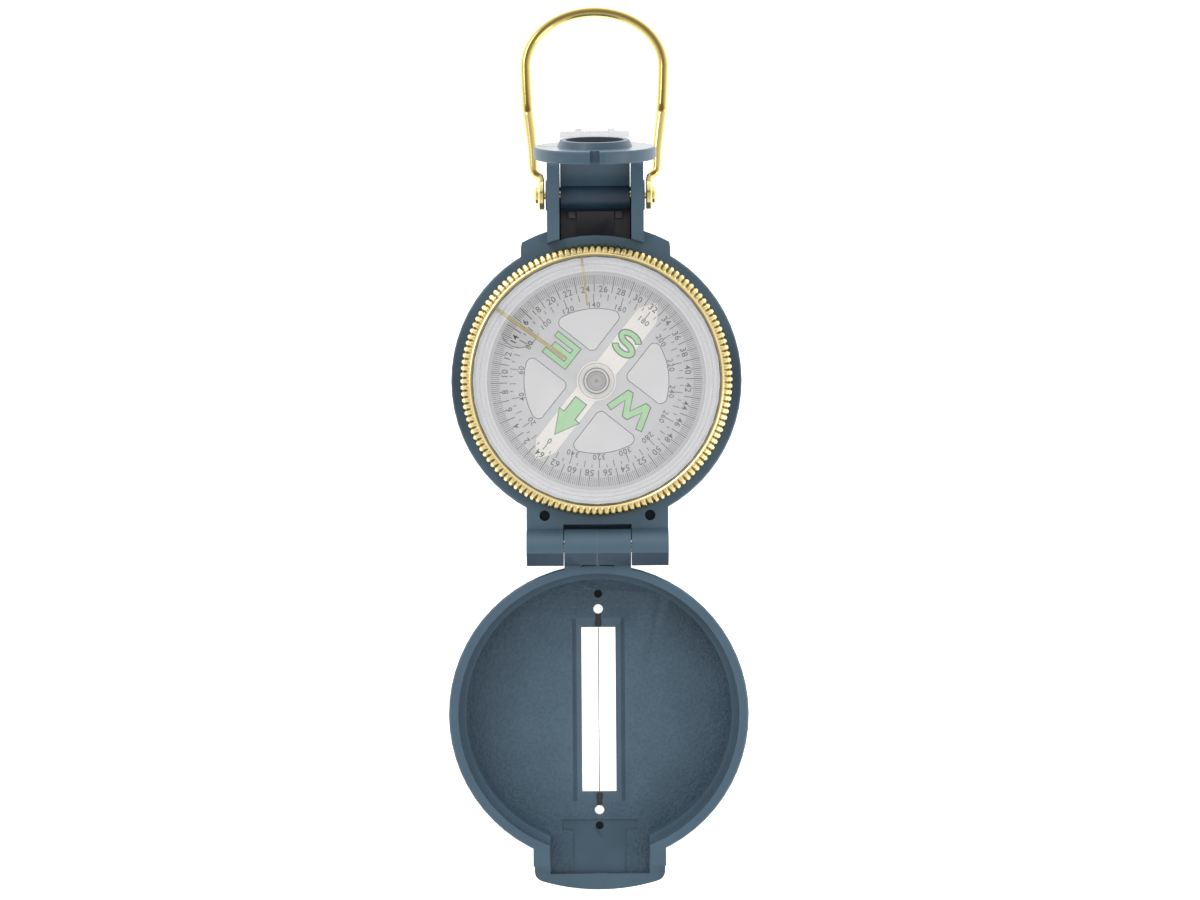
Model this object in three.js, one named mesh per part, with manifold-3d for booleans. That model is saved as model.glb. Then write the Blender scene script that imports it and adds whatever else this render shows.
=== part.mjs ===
// A folding lensatic compass, lying open and flat on a table.
// Millimetres, +Z up. The origin is on the dial's axis, on the underside of the case.
// +Y points to the eyepiece and the wire bail, -Y to the hinge and the open cover.
import * as THREE from "three";
import { mergeVertices } from "three/addons/utils/BufferGeometryUtils.js";
import Module from "manifold-3d";

const wasm = await Module();
wasm.setup();

// Facets of a full circle, and of a short arc
const WIDE_FACETS = 64;
const MIDDLE_FACETS = 36;
const PIN_FACETS = 24;
const THIN_FACETS = 6;
const ARC_FACETS = 8;

// How far a cut runs past the face that it opens
const OVERCUT = 1;

// Clearances
const RUNNING = 0.08;
const SEAT = 0.05;
const SIDE_PLAY = 0.15;
const CLOSING_GAP = 0.1;

// Case
const CASE_RADIUS = 27.7;
const CASE_DRAFT = 0.8;
const CASE_HEIGHT = 12.5;
const CASE_FLOOR = 2;
const CASE_FOOT_CHAMFER = 1.2;
const CASE_EDGE = 0.3;
const SHOULDER_STEP = 2.2;
const SHOULDER_WIDTH = 28.5;
const SHOULDER_CORNER = 1;

// Collar that the bezel snaps over
const COLLAR_WALL = 0.6;
const COLLAR_HEIGHT = 1.1;
const COLLAR_LIP = 0.45;
const COLLAR_LIP_HEIGHT = 0.4;

// Cover hinge
const COVER_TO_HINGE = 3.2;
const HINGE_WIDTH = 27;
const KNUCKLE_RADIUS = 3.5;
const KNUCKLE_FLAT_ANGLE = 45;
const KNUCKLE_FLAT_DEPTH = 0.47;
const KNUCKLE_GAP = 0.875;
const COVER_KNUCKLE_WIDTH = 12.7;
const HINGE_PIN_RADIUS = 0.95;
const HINGE_PIN_INSET = 0.3;
const HINGE_BLOCK_TOE = 3;
const HINGE_BLOCK_WEB = 2;
const BLIND_HOLE_RADIUS = 1;
const BLIND_HOLE_SPACING = 20.1;
const BLIND_HOLE_INSET = 2.6;
const BLIND_HOLE_DEPTH = 5;

// Rails that carry the eyepiece and the bail
const RAIL_SPACING = 13.7;
const RAIL_WIDTH = 2.35;
const RAIL_REACH = 14.1;
const RAIL_RISE = 2;
const RAIL_TOP_CORNER = 1.2;
const RAIL_TOE_CORNER = 4;
const RAIL_BOSS_RADIUS = 2.9;
const RAIL_BOSS_HEIGHT = 0.3;
const PIVOT_REACH = 8;
const PIVOT_BELOW_RIM = 4.5;
const PIVOT_PIN_RADIUS = 0.75;
const PIVOT_HEAD_RADIUS = 1.6;
const PIVOT_HEAD_HEIGHT = 0.9;

// Spring insert on the floor between the rails
const INSERT_THICKNESS = 1;
const INSERT_LENGTH = 9.8;
const INSERT_PLAY = 0.15;
const LEAF_WIDTH = 7.2;
const LEAF_RISE = 2.4;
const LEAF_LENGTH = 5;
const INSERT_POST = 1.3;
const INSERT_POST_SPACING = 9;
const INSERT_POST_HEIGHT = 1.4;

// Eyepiece bracket
const EYEPIECE_LEAN = 11;
const BARREL_RADIUS = 2.9;
const ARM_PLAY = 0.2;
const ARM_START = 2.1;
const ARM_REACH = 8.85;
const ARM_TOP = 3.2;
const ARM_THICKNESS = 2;
const NECK_RISE = 5.7;
const NECK_OVERLAP = 3.6;
const DISC_RADIUS = 11.35;
const DISC_THICKNESS = 2.3;
const DISC_EDGE = 0.25;
const EYE_BOSS_RADIUS = 7;
const EYE_BOSS_HEIGHT = 1.2;
const EYE_BOSS_EDGE = 0.5;
const EYE_HOLE_RADIUS = 5.45;
const NOTCH_WIDTH = 1.75;
const NOTCH_DEPTH = 2.2;
const LENS_RADIUS = 5.85;
const LENS_SEAT_DEPTH = 1.9;
const LENS_EDGE = 0.9;
const LENS_BULGE = 0.5;
const LENS_STEPS = 4;
const CLIP_WIDTH = 13.4;
const CLIP_DEPTH = 1.4;
const CLIP_HEIGHT = 2.4;
const CLIP_BUMP_WIDTH = 1.3;
const CLIP_BUMP_HEIGHT = 0.5;
const CLIP_BUMP_SPACING = 6.2;

// Wire bail
const BAIL_WIRE = 2;
const BAIL_REACH = 37.8;
const BAIL_ARCH_RISE = 11.1;
const BAIL_HALF_WIDTH = 13.1;
const BAIL_NARROWING = 0.4;
const BAIL_CRIMP_DISTANCE = 16.4;
const BAIL_LEG_INSET = 0.9;
const BAIL_CURL_DISTANCE = 4.7;
const BAIL_EYE_RADIUS = 2.8;
const BAIL_EYE_THICKNESS = 1.1;
const BAIL_EYE_PLAY = 0.25;
const BAIL_STRAP_WIDTH = 2.6;
const BAIL_FACETS = 8;
const BAIL_STEPS = 28;
const TABLE_GAP = 0.05;

// Cover
const COVER_RADIUS = 28.6;
const COVER_TABLE_GAP = 0.2;
const COVER_FLOOR = 1.5;
const COVER_DRAFT = 0.8;
const COVER_EDGE = 1.4;
const COVER_RIM_EDGE = 0.3;
const COVER_RIM_WALL = 1.8;
const COVER_RIM_DEPTH = 4.3;
const COVER_WALL = 3.05;
const TONGUE_WIDTH = 25.3;
const TONGUE_SIDE_REACH = 4.1;
const TONGUE_REACH = 6.2;
const TONGUE_CORNER = 1.6;
const POCKET_WIDTH = 19.2;
const POCKET_REACH = 3.1;
const TONGUE_WALL_REACH = 0.4;
const LIP_HEIGHT = 0.8;
const NUB_RADIUS = 1.35;
const SLOT_WIDTH = 6.6;
const SLOT_LENGTH = 31.9;
const SLOT_BEVEL = 1.9;
const SLOT_BEVEL_DEPTH = 0.8;
const SIGHT_HOLE_RADIUS = 0.92;
const SIGHT_HOLE_DISTANCE = 19.5;
const DOT_HOLE_RADIUS = 0.77;
const DOT_HOLE_DISTANCE = 22.5;
const DOT_HOLE_DEPTH = 0.9;
const DOT_HEIGHT = 0.4;
const PAD_DEPTH = 0.3;
const PAD_BAR_WIDTH = 14.5;
const PAD_BAR_DISTANCE = 21.3;
const PAD_BAR_DEPTH = 2;
const PAD_STEM_WIDTH = 10.3;
const SLIT_LENGTH = 2.8;
const SLIT_WIDTH = 0.35;
const SLIT_WEB = 0.8;

// Hair wire
const WIRE_RADIUS = 0.12;
const ANCHOR_WIDTH = 0.9;
const ANCHOR_DEPTH = 0.6;

// Bezel
const BEZEL_RADIUS = 26;
const BEZEL_BORE = 23.6;
const BEZEL_TOP = 3.5;
const BEZEL_LIFT = 0.3;
const BEZEL_WALL_BORE = 25.1;
const BEZEL_BEAD_BORE = 24.7;
const BEZEL_BEAD_HEIGHT = 0.25;
const BEZEL_CHAMFER = 1.1;
const BEZEL_LIP = 0.85;
const BEZEL_LIP_EDGE = 0.4;
const KNURL_TEETH = 130;
const KNURL_DEPTH = 0.55;
const KNURL_CREST = 0.14;
const CRYSTAL_RADIUS = 24.6;
const CRYSTAL_THICKNESS = 1.1;
const INDEX_BEARING = 96.5;
const INDEX_LINE_WIDTH = 0.45;
const INDEX_LINE_INNER = 14.3;
const SECOND_LINE_ANGLE = 47.5;
const SECOND_LINE_WIDTH = 0.75;
const SECOND_LINE_INNER = 7.4;
const INDEX_LINE_THICKNESS = 0.12;

// Liquid capsule
const CAPSULE_RADIUS = 23.6;
const CAPSULE_CLEARANCE = 0.3;
const CAPSULE_WALL = 1;
const CAPSULE_LID = 1.1;
const CAPSULE_LID_BELOW_COLLAR = 0.3;
const SPIGOT_RADIUS = 21.6;
const SPIGOT_DEPTH = 1;
const SEAL_SECTION = 0.4;
const POST_RADIUS = 0.6;
const POST_BOSS_RADIUS = 1.6;
const POST_BOSS_HEIGHT = 1;
const POST_CONE_LENGTH = 2.3;

// Dial, magnet and cap, which turn together on the post
const DIAL_BEARING = 231.6;
const DIAL_BELOW_LID = 2.6;
const DIAL_RADIUS = 21;
const DIAL_THICKNESS = 0.4;
const WINDOW_COUNT = 4;
const WINDOW_INNER = 5.9;
const WINDOW_OUTER = 13.9;
const WINDOW_HALF_ANGLE = 27;
const WINDOW_CORNER = 1.3;
const MAGNET_LENGTH = 38.6;
const MAGNET_WIDTH = 4.6;
const MAGNET_POINT = 3.4;
const MAGNET_HUB_RADIUS = 3.9;
const MAGNET_THICKNESS = 0.8;
const CAP_RADIUS = 2.55;
const CAP_DISH_RADIUS = 1.85;
const CAP_HEIGHT = 1.1;
const CAP_DISH_DEPTH = 0.25;
const STEM_RADIUS = 1.5;
const STEM_BORE = 1;
const JEWEL_THICKNESS = 0.5;
const JEWEL_DENT = 0.25;

// Heights and places that follow from the sizes above
const CASE_FOOT_RADIUS = CASE_RADIUS - CASE_DRAFT;
const SHOULDER_RADIUS = CASE_RADIUS + SHOULDER_STEP;
const COVER_HEIGHT = CASE_HEIGHT - CLOSING_GAP - COVER_TABLE_GAP;
const HINGE_DISTANCE = COVER_RADIUS + COVER_TO_HINGE;
const COVER_RIM_BORE = COVER_RADIUS - COVER_RIM_WALL;
const COVER_BORE = COVER_RADIUS - COVER_WALL;
const TONGUE_SIDE = COVER_RADIUS + TONGUE_SIDE_REACH;
const TONGUE_END = COVER_RADIUS + TONGUE_REACH;
const TONGUE_WALL_END = COVER_RADIUS + TONGUE_WALL_REACH;
const POCKET_END = COVER_RADIUS + POCKET_REACH;
const RAIL_END = CASE_RADIUS + RAIL_REACH;
const PIVOT_DISTANCE = CASE_RADIUS + PIVOT_REACH;
const PIVOT_HEIGHT = CASE_HEIGHT - PIVOT_BELOW_RIM;
const COLLAR_BORE = CAPSULE_RADIUS + CAPSULE_CLEARANCE;
const COLLAR_TOP = CASE_HEIGHT + COLLAR_HEIGHT;
const BLOCK_END = HINGE_DISTANCE - KNUCKLE_RADIUS;
const BLIND_HOLE_DISTANCE = BLOCK_END - BLIND_HOLE_INSET;
const RAIL_INNER = RAIL_SPACING / 2;
const RAIL_OUTER = RAIL_INNER + RAIL_WIDTH;
const RAIL_TOP = CASE_HEIGHT + RAIL_RISE;
const ARM_HALF = RAIL_INNER - ARM_PLAY;
const EYE_INNER = RAIL_OUTER + RAIL_BOSS_HEIGHT + BAIL_EYE_PLAY;
const EYE_OUTER = EYE_INNER + BAIL_EYE_THICKNESS;
const CRYSTAL_TOP = CASE_HEIGHT + BEZEL_TOP - BEZEL_LIP - SEAT;
const CRYSTAL_BOTTOM = CRYSTAL_TOP - CRYSTAL_THICKNESS;
const LID_TOP = COLLAR_TOP - CAPSULE_LID_BELOW_COLLAR;
const LID_BOTTOM = LID_TOP - CAPSULE_LID;
const DIAL_HEIGHT = LID_BOTTOM - SPIGOT_DEPTH - DIAL_BELOW_LID;
const CUP_FLOOR_TOP = CASE_FLOOR + SEAT + CAPSULE_WALL;
const ARM_BOTTOM = ARM_TOP - ARM_THICKNESS;
const DISC_CENTRE = ARM_BOTTOM + NECK_RISE + DISC_RADIUS;

const radians = THREE.MathUtils.degToRad;

// Solids

// A closed geometry as a solid, with its faces pointing out.
function solid(geometry) {
  const bare = geometry.index ? geometry.toNonIndexed() : geometry.clone();
  for (const name of Object.keys(bare.attributes)) {
    if (name !== "position") bare.deleteAttribute(name);
  }
  const merged = mergeVertices(bare);
  const corners = merged.index.array;
  const kept = [];
  for (let i = 0; i < corners.length; i += 3) {
    const [a, b, c] = [corners[i], corners[i + 1], corners[i + 2]];
    if (a !== b && b !== c && c !== a) kept.push(a, b, c);
  }
  const closed = manifoldOf(merged.attributes.position.array, kept);
  return closed.volume() > 0 ? closed : manifoldOf(merged.attributes.position.array, kept.reverse());
}

function manifoldOf(vertProperties, corners) {
  const triVerts = new Uint32Array(corners);
  return new wasm.Manifold(new wasm.Mesh({ numProp: 3, vertProperties, triVerts }));
}

function geometryOf(body) {
  const mesh = body.getMesh();
  const positions = new Float32Array(mesh.numVert * 3);
  for (let i = 0; i < mesh.numVert; i++) {
    positions.set(mesh.vertProperties.subarray(i * mesh.numProp, i * mesh.numProp + 3), i * 3);
  }
  const geometry = new THREE.BufferGeometry();
  geometry.setAttribute("position", new THREE.BufferAttribute(positions, 3));
  geometry.setIndex(new THREE.BufferAttribute(mesh.triVerts, 1));
  geometry.computeVertexNormals();
  return geometry;
}

// Turns a profile of [radius, height] points round the Z axis.
function lathe(profile, facets = WIDE_FACETS) {
  const points = profile.map(([radius, height]) => new THREE.Vector2(radius, height));
  return solid(new THREE.LatheGeometry(points, facets).rotateX(Math.PI / 2));
}

function disc(radius, bottom, top, facets = WIDE_FACETS) {
  return lathe([[0, bottom], [radius, bottom], [radius, top], [0, top]], facets);
}

function ring(inner, outer, bottom, top, facets = WIDE_FACETS) {
  return lathe([[inner, bottom], [outer, bottom], [outer, top], [inner, top], [inner, bottom]], facets);
}

function box(x0, x1, y0, y1, z0, z1) {
  const geometry = new THREE.BoxGeometry(x1 - x0, y1 - y0, z1 - z0);
  return solid(geometry.translate((x0 + x1) / 2, (y0 + y1) / 2, (z0 + z1) / 2));
}

function post(radius, x, y, bottom, top, facets = PIN_FACETS) {
  return disc(radius, bottom, top, facets).translate(x, y, 0);
}

// A round bar along X.
function rod(radius, x0, x1, y = 0, z = 0, facets = PIN_FACETS) {
  return disc(radius, x0, x1, facets).rotate(0, 90, 0).translate(0, y, z);
}

// A flat outline in X and Y, given a height along Z.
function prism(shape, bottom, top, curveSegments = ARC_FACETS) {
  const settings = { depth: top - bottom, bevelEnabled: false, curveSegments };
  return solid(new THREE.ExtrudeGeometry(shape, settings).translate(0, 0, bottom));
}

// An outline in Y and Z, given a width along X.
function sidePrism(shape, x0, x1) {
  return prism(shape, x0, x1).rotate(90, 0, 90);
}

function polygon(points) {
  return new THREE.Shape(points.map(([x, y]) => new THREE.Vector2(x, y)));
}

// A body and its mirror image on the other side of X = 0.
function both(body) {
  return body.add(body.mirror([1, 0, 0]));
}

// Materials

function finish(color, roughness, metalness = 0, opacity = 1) {
  return { color, roughness, metalness, opacity, transparent: opacity < 1 };
}

const BLUE_PLASTIC = finish(0x44607a, 0.45);
const BLACK_PLASTIC = finish(0x1e2024, 0.5);
const BRASS = finish(0xd9b44a, 0.25, 1);
const STEEL = finish(0xb5b8bb, 0.3, 1);
const CLEAR = finish(0xe9eef2, 0.05, 0, 0.3);
const CAPSULE_WHITE = finish(0xe2e3e6, 0.4, 0, 0.8);
const CARD = finish(0xdcdde0, 0.6);
const MAGNET_WHITE = finish(0xf1ede4, 0.6);
const CAP_GREY = finish(0xa9a7a6, 0.35);
const SEAL_WHITE = finish(0xd9dade, 0.5);
const SAPPHIRE = finish(0xb04a5a, 0.1, 0, 0.8);
const GOLD_PAINT = finish(0xd8c27a, 0.5);
const GLOW_PAINT = finish(0xdfe8d0, 0.6);

function place(group, name, body, material) {
  const mesh = new THREE.Mesh(geometryOf(body), new THREE.MeshStandardMaterial(material));
  mesh.name = name;
  group.add(mesh);
}

// Case: a bowl with a snap collar, the hinge block and its knuckles, and the two rails

function caseBowl() {
  const collar = COLLAR_BORE + COLLAR_WALL;
  const lip = collar + COLLAR_LIP;
  return lathe([
    [0, 0],
    [CASE_FOOT_RADIUS - CASE_FOOT_CHAMFER, 0],
    [CASE_FOOT_RADIUS, CASE_FOOT_CHAMFER],
    [CASE_RADIUS, CASE_HEIGHT - CASE_EDGE],
    [CASE_RADIUS - CASE_EDGE, CASE_HEIGHT],
    [collar, CASE_HEIGHT],
    [collar, COLLAR_TOP - COLLAR_LIP_HEIGHT],
    [lip, COLLAR_TOP - COLLAR_LIP_HEIGHT],
    [lip - COLLAR_LIP / 2, COLLAR_TOP],
    [COLLAR_BORE, COLLAR_TOP],
    [COLLAR_BORE, CASE_FLOOR],
    [0, CASE_FLOOR],
  ]);
}

function caseBore() {
  return disc(COLLAR_BORE, -OVERCUT, CASE_HEIGHT + OVERCUT);
}

// The straight-sided shoulder behind the bowl, whose rounded back carries the rails
function shoulder() {
  const half = SHOULDER_WIDTH / 2;
  const side = Math.sqrt(SHOULDER_RADIUS ** 2 - half ** 2);
  const turn = Math.atan2(side - SHOULDER_CORNER / 2, half - SHOULDER_CORNER / 2);
  const shape = new THREE.Shape();
  shape.moveTo(-half, 0);
  shape.lineTo(half, 0);
  shape.lineTo(half, side - SHOULDER_CORNER);
  shape.absarc(0, 0, SHOULDER_RADIUS, turn, Math.PI - turn);
  shape.lineTo(-half, side - SHOULDER_CORNER);
  return prism(shape, 0, CASE_HEIGHT, 2 * ARC_FACETS).subtract(caseBore());
}

// A knuckle round the origin, with the flat that its outer upper side has.
function knuckle(x0, x1) {
  const flatDistance = KNUCKLE_RADIUS - KNUCKLE_FLAT_DEPTH;
  const reach = 2 * KNUCKLE_RADIUS;
  const flat = box(x0 - OVERCUT, x1 + OVERCUT, -reach, -flatDistance, -reach, reach);
  return rod(KNUCKLE_RADIUS, x0, x1, 0, 0, MIDDLE_FACETS).subtract(flat.rotate(-KNUCKLE_FLAT_ANGLE, 0, 0));
}

function hingeBlock() {
  const half = HINGE_WIDTH / 2;
  const bottom = CASE_HEIGHT - KNUCKLE_RADIUS;
  const gapHalf = COVER_KNUCKLE_WIDTH / 2 + SIDE_PLAY;
  const block = sidePrism(
    polygon([
      [-CASE_FLOOR, 0],
      [-CASE_FOOT_RADIUS + CASE_FOOT_CHAMFER + HINGE_BLOCK_TOE, 0],
      [-BLOCK_END, bottom - HINGE_BLOCK_WEB],
      [-HINGE_DISTANCE, bottom],
      [-HINGE_DISTANCE, CASE_HEIGHT - HINGE_PIN_RADIUS],
      [-BLOCK_END, CASE_HEIGHT],
      [-CASE_FLOOR, CASE_HEIGHT],
    ]),
    -half,
    half,
  );
  const reach = 2 * KNUCKLE_RADIUS;
  const above = box(
    -gapHalf,
    gapHalf,
    -HINGE_DISTANCE - reach,
    KNUCKLE_GAP - BLOCK_END,
    CASE_HEIGHT,
    CASE_HEIGHT + reach,
  );
  const before = box(-gapHalf, gapHalf, -HINGE_DISTANCE - reach, -HINGE_DISTANCE, -OVERCUT, CASE_HEIGHT);
  const gap = rod(KNUCKLE_RADIUS + KNUCKLE_GAP, -gapHalf, gapHalf, -HINGE_DISTANCE, CASE_HEIGHT, MIDDLE_FACETS)
    .add(above)
    .add(before);
  const knuckles = knuckle(-half, half).translate(0, -HINGE_DISTANCE, CASE_HEIGHT);
  const pinBore = rod(HINGE_PIN_RADIUS + RUNNING, -HINGE_WIDTH, HINGE_WIDTH, -HINGE_DISTANCE, CASE_HEIGHT);
  return block.add(knuckles).subtract(gap).subtract(pinBore).subtract(caseBore());
}

function blindHoles() {
  return both(
    post(
      BLIND_HOLE_RADIUS,
      BLIND_HOLE_SPACING / 2,
      -BLIND_HOLE_DISTANCE,
      CASE_HEIGHT - BLIND_HOLE_DEPTH,
      CASE_HEIGHT + OVERCUT,
    ),
  );
}

function rail() {
  const start = Math.sqrt(COLLAR_BORE ** 2 - RAIL_INNER ** 2) + COLLAR_WALL;
  const shape = new THREE.Shape();
  shape.moveTo(start, 0);
  shape.lineTo(RAIL_END - RAIL_TOE_CORNER, 0);
  shape.absarc(RAIL_END - RAIL_TOE_CORNER, RAIL_TOE_CORNER, RAIL_TOE_CORNER, -Math.PI / 2, 0);
  shape.lineTo(RAIL_END, RAIL_TOP - RAIL_TOP_CORNER);
  shape.absarc(RAIL_END - RAIL_TOP_CORNER, RAIL_TOP - RAIL_TOP_CORNER, RAIL_TOP_CORNER, 0, Math.PI / 2);
  shape.lineTo(start, RAIL_TOP);
  return sidePrism(shape, RAIL_INNER, RAIL_OUTER)
    .subtract(disc(CASE_RADIUS, CASE_HEIGHT, RAIL_TOP + OVERCUT))
    .add(rod(RAIL_BOSS_RADIUS, RAIL_OUTER, RAIL_OUTER + RAIL_BOSS_HEIGHT, PIVOT_DISTANCE, PIVOT_HEIGHT));
}

function tailFloor() {
  const start = Math.sqrt(COLLAR_BORE ** 2 - RAIL_INNER ** 2) + COLLAR_WALL;
  return box(-RAIL_INNER, RAIL_INNER, start, RAIL_END - RAIL_TOE_CORNER, 0, CASE_FLOOR);
}

// The open bay between the rails, which cuts through the shoulder up to the bowl
function railBay() {
  const bay = box(-RAIL_INNER, RAIL_INNER, PIVOT_DISTANCE / 2, RAIL_END, CASE_FLOOR, CASE_HEIGHT + OVERCUT);
  return bay.subtract(disc(CASE_RADIUS, 0, CASE_HEIGHT + OVERCUT));
}

function caseBody() {
  const reach = RAIL_OUTER + RAIL_BOSS_HEIGHT + OVERCUT;
  return caseBowl()
    .add(shoulder().subtract(railBay()))
    .add(hingeBlock())
    .add(both(rail()))
    .add(tailFloor())
    .subtract(rod(PIVOT_PIN_RADIUS + RUNNING, -reach, reach, PIVOT_DISTANCE, PIVOT_HEIGHT))
    .subtract(blindHoles());
}

// Black insert between the rails: a plate, a leaf that bears on the barrel, and two posts
function springInsert() {
  const start = CASE_RADIUS + INSERT_PLAY;
  const half = RAIL_INNER - INSERT_PLAY;
  const bottom = CASE_FLOOR + SEAT;
  const top = bottom + INSERT_THICKNESS;
  const strip = box(-half, half, start / 2, start + INSERT_LENGTH, bottom, top);
  const plate = strip.subtract(disc(start, 0, top + OVERCUT));
  const leaf = sidePrism(
    polygon([
      [start, top - INSERT_THICKNESS / 2],
      [start + LEAF_LENGTH, top - INSERT_THICKNESS / 2],
      [start + LEAF_LENGTH, top + LEAF_RISE - INSERT_THICKNESS],
      [start, top],
    ]),
    -LEAF_WIDTH / 2,
    LEAF_WIDTH / 2,
  );
  const postBox = box(
    (INSERT_POST_SPACING - INSERT_POST) / 2,
    (INSERT_POST_SPACING + INSERT_POST) / 2,
    start + LEAF_LENGTH - INSERT_POST,
    start + LEAF_LENGTH,
    top - SEAT,
    top + INSERT_POST_HEIGHT,
  );
  return plate.add(leaf).add(both(postBox));
}

// Capsule: a clear cup and lid with a seal between them, and the post that the dial turns on

function capsuleCup() {
  const inner = CAPSULE_RADIUS - CAPSULE_WALL;
  return lathe(
    [
      [0, CASE_FLOOR + SEAT],
      [CAPSULE_RADIUS, CASE_FLOOR + SEAT],
      [CAPSULE_RADIUS, LID_BOTTOM - SEAT],
      [inner, LID_BOTTOM - SEAT],
      [inner, CUP_FLOOR_TOP],
      [POST_BOSS_RADIUS, CUP_FLOOR_TOP],
      [POST_BOSS_RADIUS, CUP_FLOOR_TOP + POST_BOSS_HEIGHT],
      [0, CUP_FLOOR_TOP + POST_BOSS_HEIGHT],
    ],
    MIDDLE_FACETS,
  );
}

function capsuleLid() {
  return lathe(
    [
      [0, LID_BOTTOM - SPIGOT_DEPTH],
      [SPIGOT_RADIUS, LID_BOTTOM - SPIGOT_DEPTH],
      [SPIGOT_RADIUS, LID_BOTTOM],
      [CAPSULE_RADIUS, LID_BOTTOM],
      [CAPSULE_RADIUS, LID_TOP],
      [0, LID_TOP],
    ],
    MIDDLE_FACETS,
  );
}

function capsuleSeal() {
  const middle = (SPIGOT_RADIUS + CAPSULE_RADIUS - CAPSULE_WALL) / 2;
  const section = new THREE.TorusGeometry(middle, SEAL_SECTION, THIN_FACETS, MIDDLE_FACETS);
  return solid(section.translate(0, 0, LID_BOTTOM - SPIGOT_DEPTH / 2));
}

function jewelBottom() {
  return DIAL_HEIGHT + DIAL_THICKNESS + CAP_HEIGHT - CAP_DISH_DEPTH - SEAT - JEWEL_THICKNESS;
}

function pivotPost() {
  const bottom = CUP_FLOOR_TOP + POST_BOSS_HEIGHT + SEAT;
  const tip = jewelBottom() + JEWEL_DENT / 2;
  const shoulderHeight = tip - POST_CONE_LENGTH;
  return lathe([[0, bottom], [POST_RADIUS, bottom], [POST_RADIUS, shoulderHeight], [0, tip]], PIN_FACETS);
}

// Dial card with four windows between the cardinal points; north is +Y here

function windowShape(middle) {
  const spread = radians(WINDOW_HALF_ANGLE);
  const outer = WINDOW_OUTER - WINDOW_CORNER;
  const outerTurn = spread - Math.asin(WINDOW_CORNER / outer);
  const innerCentre = WINDOW_INNER + WINDOW_CORNER;
  const shape = new THREE.Shape();
  const corner = (radius, angle, from, to) =>
    shape.absarc(radius * Math.cos(angle), radius * Math.sin(angle), WINDOW_CORNER, from, to);
  shape.moveTo(
    innerCentre * Math.cos(middle) + WINDOW_CORNER * Math.sin(middle - spread),
    innerCentre * Math.sin(middle) - WINDOW_CORNER * Math.cos(middle - spread),
  );
  corner(outer, middle - outerTurn, middle - spread - Math.PI / 2, middle - outerTurn);
  shape.absarc(0, 0, WINDOW_OUTER, middle - outerTurn, middle + outerTurn);
  corner(outer, middle + outerTurn, middle + outerTurn, middle + spread + Math.PI / 2);
  corner(innerCentre, middle, middle + spread + Math.PI / 2, middle - spread + Math.PI * 1.5);
  return shape;
}

function dialCard() {
  let card = ring(STEM_RADIUS + SEAT, DIAL_RADIUS, DIAL_HEIGHT, DIAL_HEIGHT + DIAL_THICKNESS);
  for (let i = 0; i < WINDOW_COUNT; i++) {
    const middle = ((i + 0.5) * 2 * Math.PI) / WINDOW_COUNT;
    const cut = prism(windowShape(middle), DIAL_HEIGHT - OVERCUT, DIAL_HEIGHT + OVERCUT, ARC_FACETS / 2);
    card = card.subtract(cut);
  }
  return card;
}

function barMagnet() {
  const half = MAGNET_WIDTH / 2;
  const tip = MAGNET_LENGTH / 2;
  const top = DIAL_HEIGHT - SEAT;
  const bar = prism(
    polygon([
      [-half, MAGNET_POINT - tip],
      [0, -tip],
      [half, MAGNET_POINT - tip],
      [half, tip - MAGNET_POINT],
      [0, tip],
      [-half, tip - MAGNET_POINT],
    ]),
    top - MAGNET_THICKNESS,
    top,
  );
  const hub = disc(MAGNET_HUB_RADIUS, top - MAGNET_THICKNESS, top, MIDDLE_FACETS);
  return bar.add(hub).subtract(disc(STEM_RADIUS + SEAT, 0, CASE_HEIGHT, MIDDLE_FACETS));
}

function dialCap() {
  const seat = DIAL_HEIGHT + DIAL_THICKNESS + SEAT;
  const top = seat + CAP_HEIGHT;
  const stemBottom = DIAL_HEIGHT - SEAT - MAGNET_THICKNESS;
  return lathe(
    [
      [STEM_BORE, stemBottom],
      [STEM_RADIUS, stemBottom],
      [STEM_RADIUS, seat],
      [CAP_RADIUS, seat],
      [CAP_RADIUS, top],
      [CAP_DISH_RADIUS, top],
      [CAP_DISH_RADIUS, top - CAP_DISH_DEPTH],
      [0, top - CAP_DISH_DEPTH],
      [0, jewelBottom() + JEWEL_THICKNESS + SEAT],
      [STEM_BORE, jewelBottom() + JEWEL_THICKNESS + SEAT],
      [STEM_BORE, stemBottom],
    ],
    PIN_FACETS,
  );
}

function jewel() {
  const bottom = jewelBottom();
  const radius = STEM_BORE - SEAT;
  return lathe(
    [
      [0, bottom + JEWEL_DENT],
      [radius / 2, bottom],
      [radius, bottom],
      [radius, bottom + JEWEL_THICKNESS - SEAT],
      [0, bottom + JEWEL_THICKNESS - SEAT],
    ],
    PIN_FACETS,
  );
}

// Bezel: a ring with a knurled edge that snaps over the collar and holds the crystal

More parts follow.
